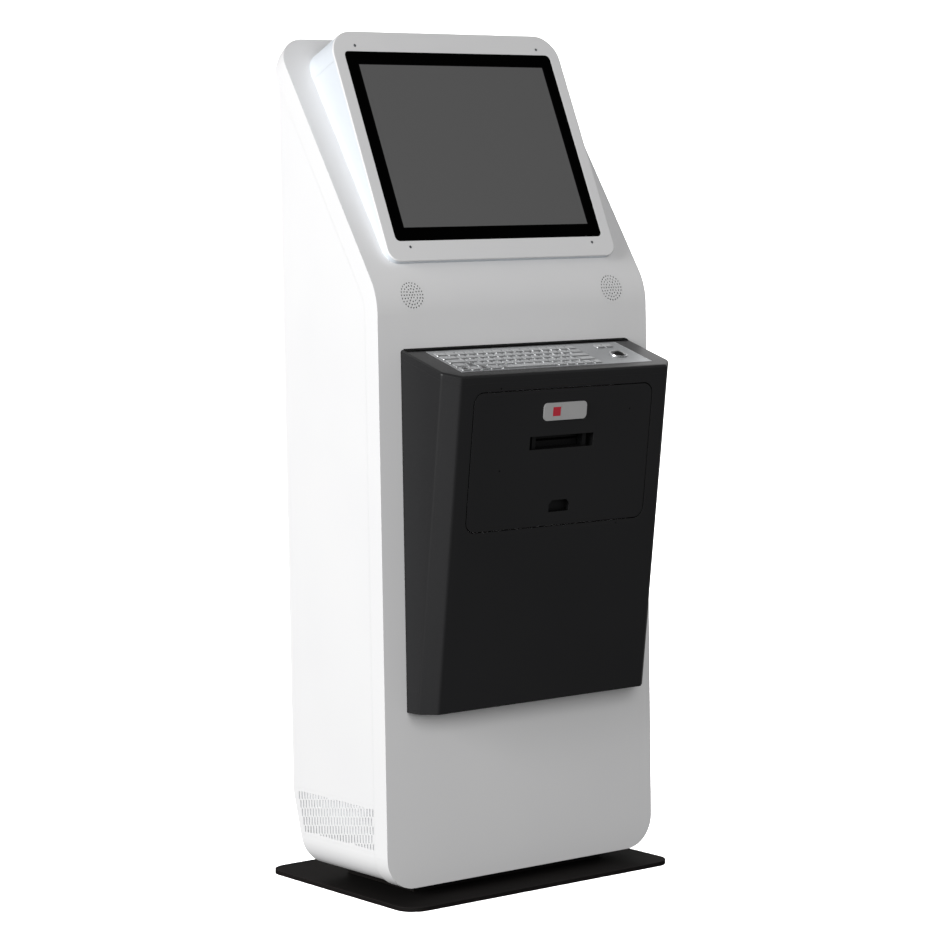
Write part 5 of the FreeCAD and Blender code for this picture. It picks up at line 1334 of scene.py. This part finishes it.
    def build_strip(self) -> None:
        """Rubber strip that seals the deck against the cabinet; its near-black rubber also paints the shade
        in the gap behind the keyboard.

        Its section is half an oval of the fourth power on the deck: width times the cosine and rise times the
        sine, each with the square root of its size. Carried along x, it closes to a point at each end.
        """
        turn = np.linspace(0, math.pi, 13)
        cosine = np.cos(turn)
        half, sink = self.strip_width / 2, self.strip_sink
        over = np.stack((-half + half * np.sign(cosine) * np.sqrt(np.abs(cosine)),
                         self.strip_rise * np.sqrt(np.abs(np.sin(turn)))), axis=-1)
        section = np.concatenate((over, [(-self.strip_width, -sink), (0.0, -sink)])) - np.array([sink, 0.0])
        stations = np.linspace(-self.strip_half, self.strip_half, 20)
        stations = np.concatenate((stations[:1], stations, stations[-1:]))[:, None, None]
        scale = np.pad(np.ones(20), 1)[:, None, None]
        middle = section.mean(axis=0)
        shape = middle + scale * (section - middle)
        rings = np.concatenate((np.broadcast_to(stations, shape.shape[:2] + (1,)), shape), axis=-1)
        # The strip is partly a real seal and partly painted shade for the gap behind the keyboard
        add_piece("deck_seal_and_shade_strip", deck_face().shapes(rings[None]), self.finishes.seal, "cabinet",
                  "dark_plastic")

    def build(self, keyboard: Keyboard) -> None:
        """Dress the console and add its folded sheets and its seal."""
        self.dress()
        self.build_shell()
        self.build_deck(keyboard)
        self.build_strip()


@dataclass(frozen=True)
class Lamp:
    """One square soft box: its aim, and whether it lights only the stage, is mirrored, and lights at all."""

    name: str
    place: Spot
    target: Spot
    size: float
    power: float
    stage_only: bool = False
    mirrored: bool = True
    lights: bool = True


@dataclass
class Studio:
    """Plain floor and backdrop, soft lights and the camera at the photo's angle."""

    camera_place: Spot = (-3.2614, -4.2927, 1.2065)
    yaw: float = math.radians(37.379)
    pitch: float = math.radians(5.104)
    roll: float = math.radians(-0.9)
    lens: float = 114.13
    sensor: float = 36.0
    far: float = 60.0
    floor_reach: float = 9.0
    wall_turn: float = 2.5
    wall_rise: float = 4.2
    around: int = 96
    world_light: float = 0.15
    lamps: tuple[Lamp, ...] = (
        Lamp("lamp_left", (-7.5, -0.7, 2.7), (0.0, 0.0, 0.8), 3.2, 590.0),
        Lamp("lamp_front", (-2.1, -6.3, 2.9), (0.0, 0.0, 0.8), 4.0, 185.0, mirrored=False),
        Lamp("lamp_low", (-1.95, -1.7, 0.1), (-0.24, -0.27, 0.65), 1.0, 9.0, lights=False),
        Lamp("lamp_rim", (3.5, 2.8, 3.35), (0.2, -0.25, 0.95), 4.0, 50.0),
        Lamp("lamp_back", (2.6, 6.2, 3.4), (0.0, 0.0, 0.8), 4.0, 260.0, mirrored=False),
        Lamp("lamp_backdrop", (0.0, 0.0, 9.0), (0.0, 0.0, 0.0), 18.0, 7000.0, stage_only=True),
    )

    def add_camera(self) -> None:
        """The camera's axes are worked out from its yaw, pitch and roll."""
        forward = Vector((math.sin(self.yaw) * math.cos(self.pitch),
                          math.cos(self.yaw) * math.cos(self.pitch), -math.sin(self.pitch)))
        right = Vector((math.cos(self.yaw), -math.sin(self.yaw), 0))
        up = right.cross(forward)
        turned_right = right * math.cos(self.roll) + up * math.sin(self.roll)
        turned_up = up * math.cos(self.roll) - right * math.sin(self.roll)
        data = bpy.data.cameras.new("studio_camera")
        data.lens = self.lens
        data.sensor_width = self.sensor
        data.clip_end = self.far
        item = bpy.data.objects.new("studio_camera", data)
        turn = Matrix((turned_right, turned_up, -forward)).transposed().to_4x4()
        item.matrix_world = Matrix.Translation(Vector(self.camera_place)) @ turn
        bpy.context.scene.collection.objects.link(item)
        bpy.context.scene.camera = item

    def add_lights(self, stage: Sequence[bpy.types.Object]) -> None:
        """Square soft boxes; a lamp for the stage alone is linked to the floor and backdrop.

        Args:
            stage: the floor and the backdrop.
        """
        only_stage = bpy.data.collections.new("lit_by_backdrop_lamp")
        for item in stage:
            only_stage.objects.link(item)
        for lamp in self.lamps:
            data = bpy.data.lights.new(lamp.name, "AREA")
            data.shape = "SQUARE"
            data.size = lamp.size
            data.energy = lamp.power
            item = bpy.data.objects.new(lamp.name, data)
            item.visible_camera = False
            item.visible_glossy = lamp.mirrored
            item.visible_diffuse = lamp.lights
            aim = Vector(lamp.target) - Vector(lamp.place)
            turn = aim.to_track_quat("-Z", "Y").to_matrix().to_4x4()
            item.matrix_world = Matrix.Translation(Vector(lamp.place)) @ turn
            if lamp.stage_only:
                item.light_linking.receiver_collection = only_stage
            bpy.context.scene.collection.objects.link(item)

    def add_world(self) -> None:
        """Even pale light from all round."""
        world = bpy.data.worlds.new("studio_world")
        world.use_nodes = True
        tree = world.node_tree
        tree.nodes.clear()
        glow = add_node(tree, "ShaderNodeBackground",
                        {"Color": linear("#ffffff"), "Strength": self.world_light})
        add_node(tree, "ShaderNodeOutputWorld", links={"Surface": glow.outputs["Background"]})
        bpy.context.scene.world = world

    def add_stage(self) -> list[bpy.types.Object]:
        """Floor disc and the backdrop that rises from its edge.

        The disc is flat out to the floor's reach. The backdrop's height follows a quarter circle of the
        wall's radius and then goes straight up. Neither throws light back on the kiosk or shows in it.

        Returns:
            The floor and the backdrop.
        """
        turn = np.linspace(0, math.pi / 2, 13)
        wall = self.floor_reach + self.wall_turn * np.append(np.sin(turn), 1.0)
        rise = self.wall_turn * np.append(1 - np.cos(turn), self.wall_rise)
        # Rolled studio paper, matt and pale
        material = Paper("studio_paper", "#f8f8f8", shade="#f6f6f6", fibre=30 * MM).build()
        made = []
        for name, reach, height in (
            ("studio_floor", np.array([0.0, self.floor_reach]), np.zeros(2)), ("studio_backdrop", wall, rise),
        ):
            rings = lifted(circles(reach, self.around), height)
            item = make_object(name, stacked(rings[None]), material)
            item.visible_diffuse = False
            item.visible_glossy = False
            made.append(item)
        return made

    def build(self) -> None:
        """Set up the whole studio, with colours shown as they are lit."""
        bpy.context.scene.view_settings.view_transform = "Standard"
        self.add_camera()
        self.add_world()
        self.add_lights(self.add_stage())


def main() -> None:
    """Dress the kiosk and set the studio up."""
    logging.basicConfig(level=logging.INFO, format="%(name)s: %(message)s")
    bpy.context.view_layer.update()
    finishes = Finishes(tuple(ScreenHead.centre()))
    keyboard = Keyboard(finishes)
    Studio().build()
    for assembly in (Cabinet(finishes), RearDoor(finishes), ScreenHead(finishes), keyboard):
        assembly.build()
    Console(finishes).build(keyboard)
    log.info("boxes written")


if __name__ == "__main__":
    main()
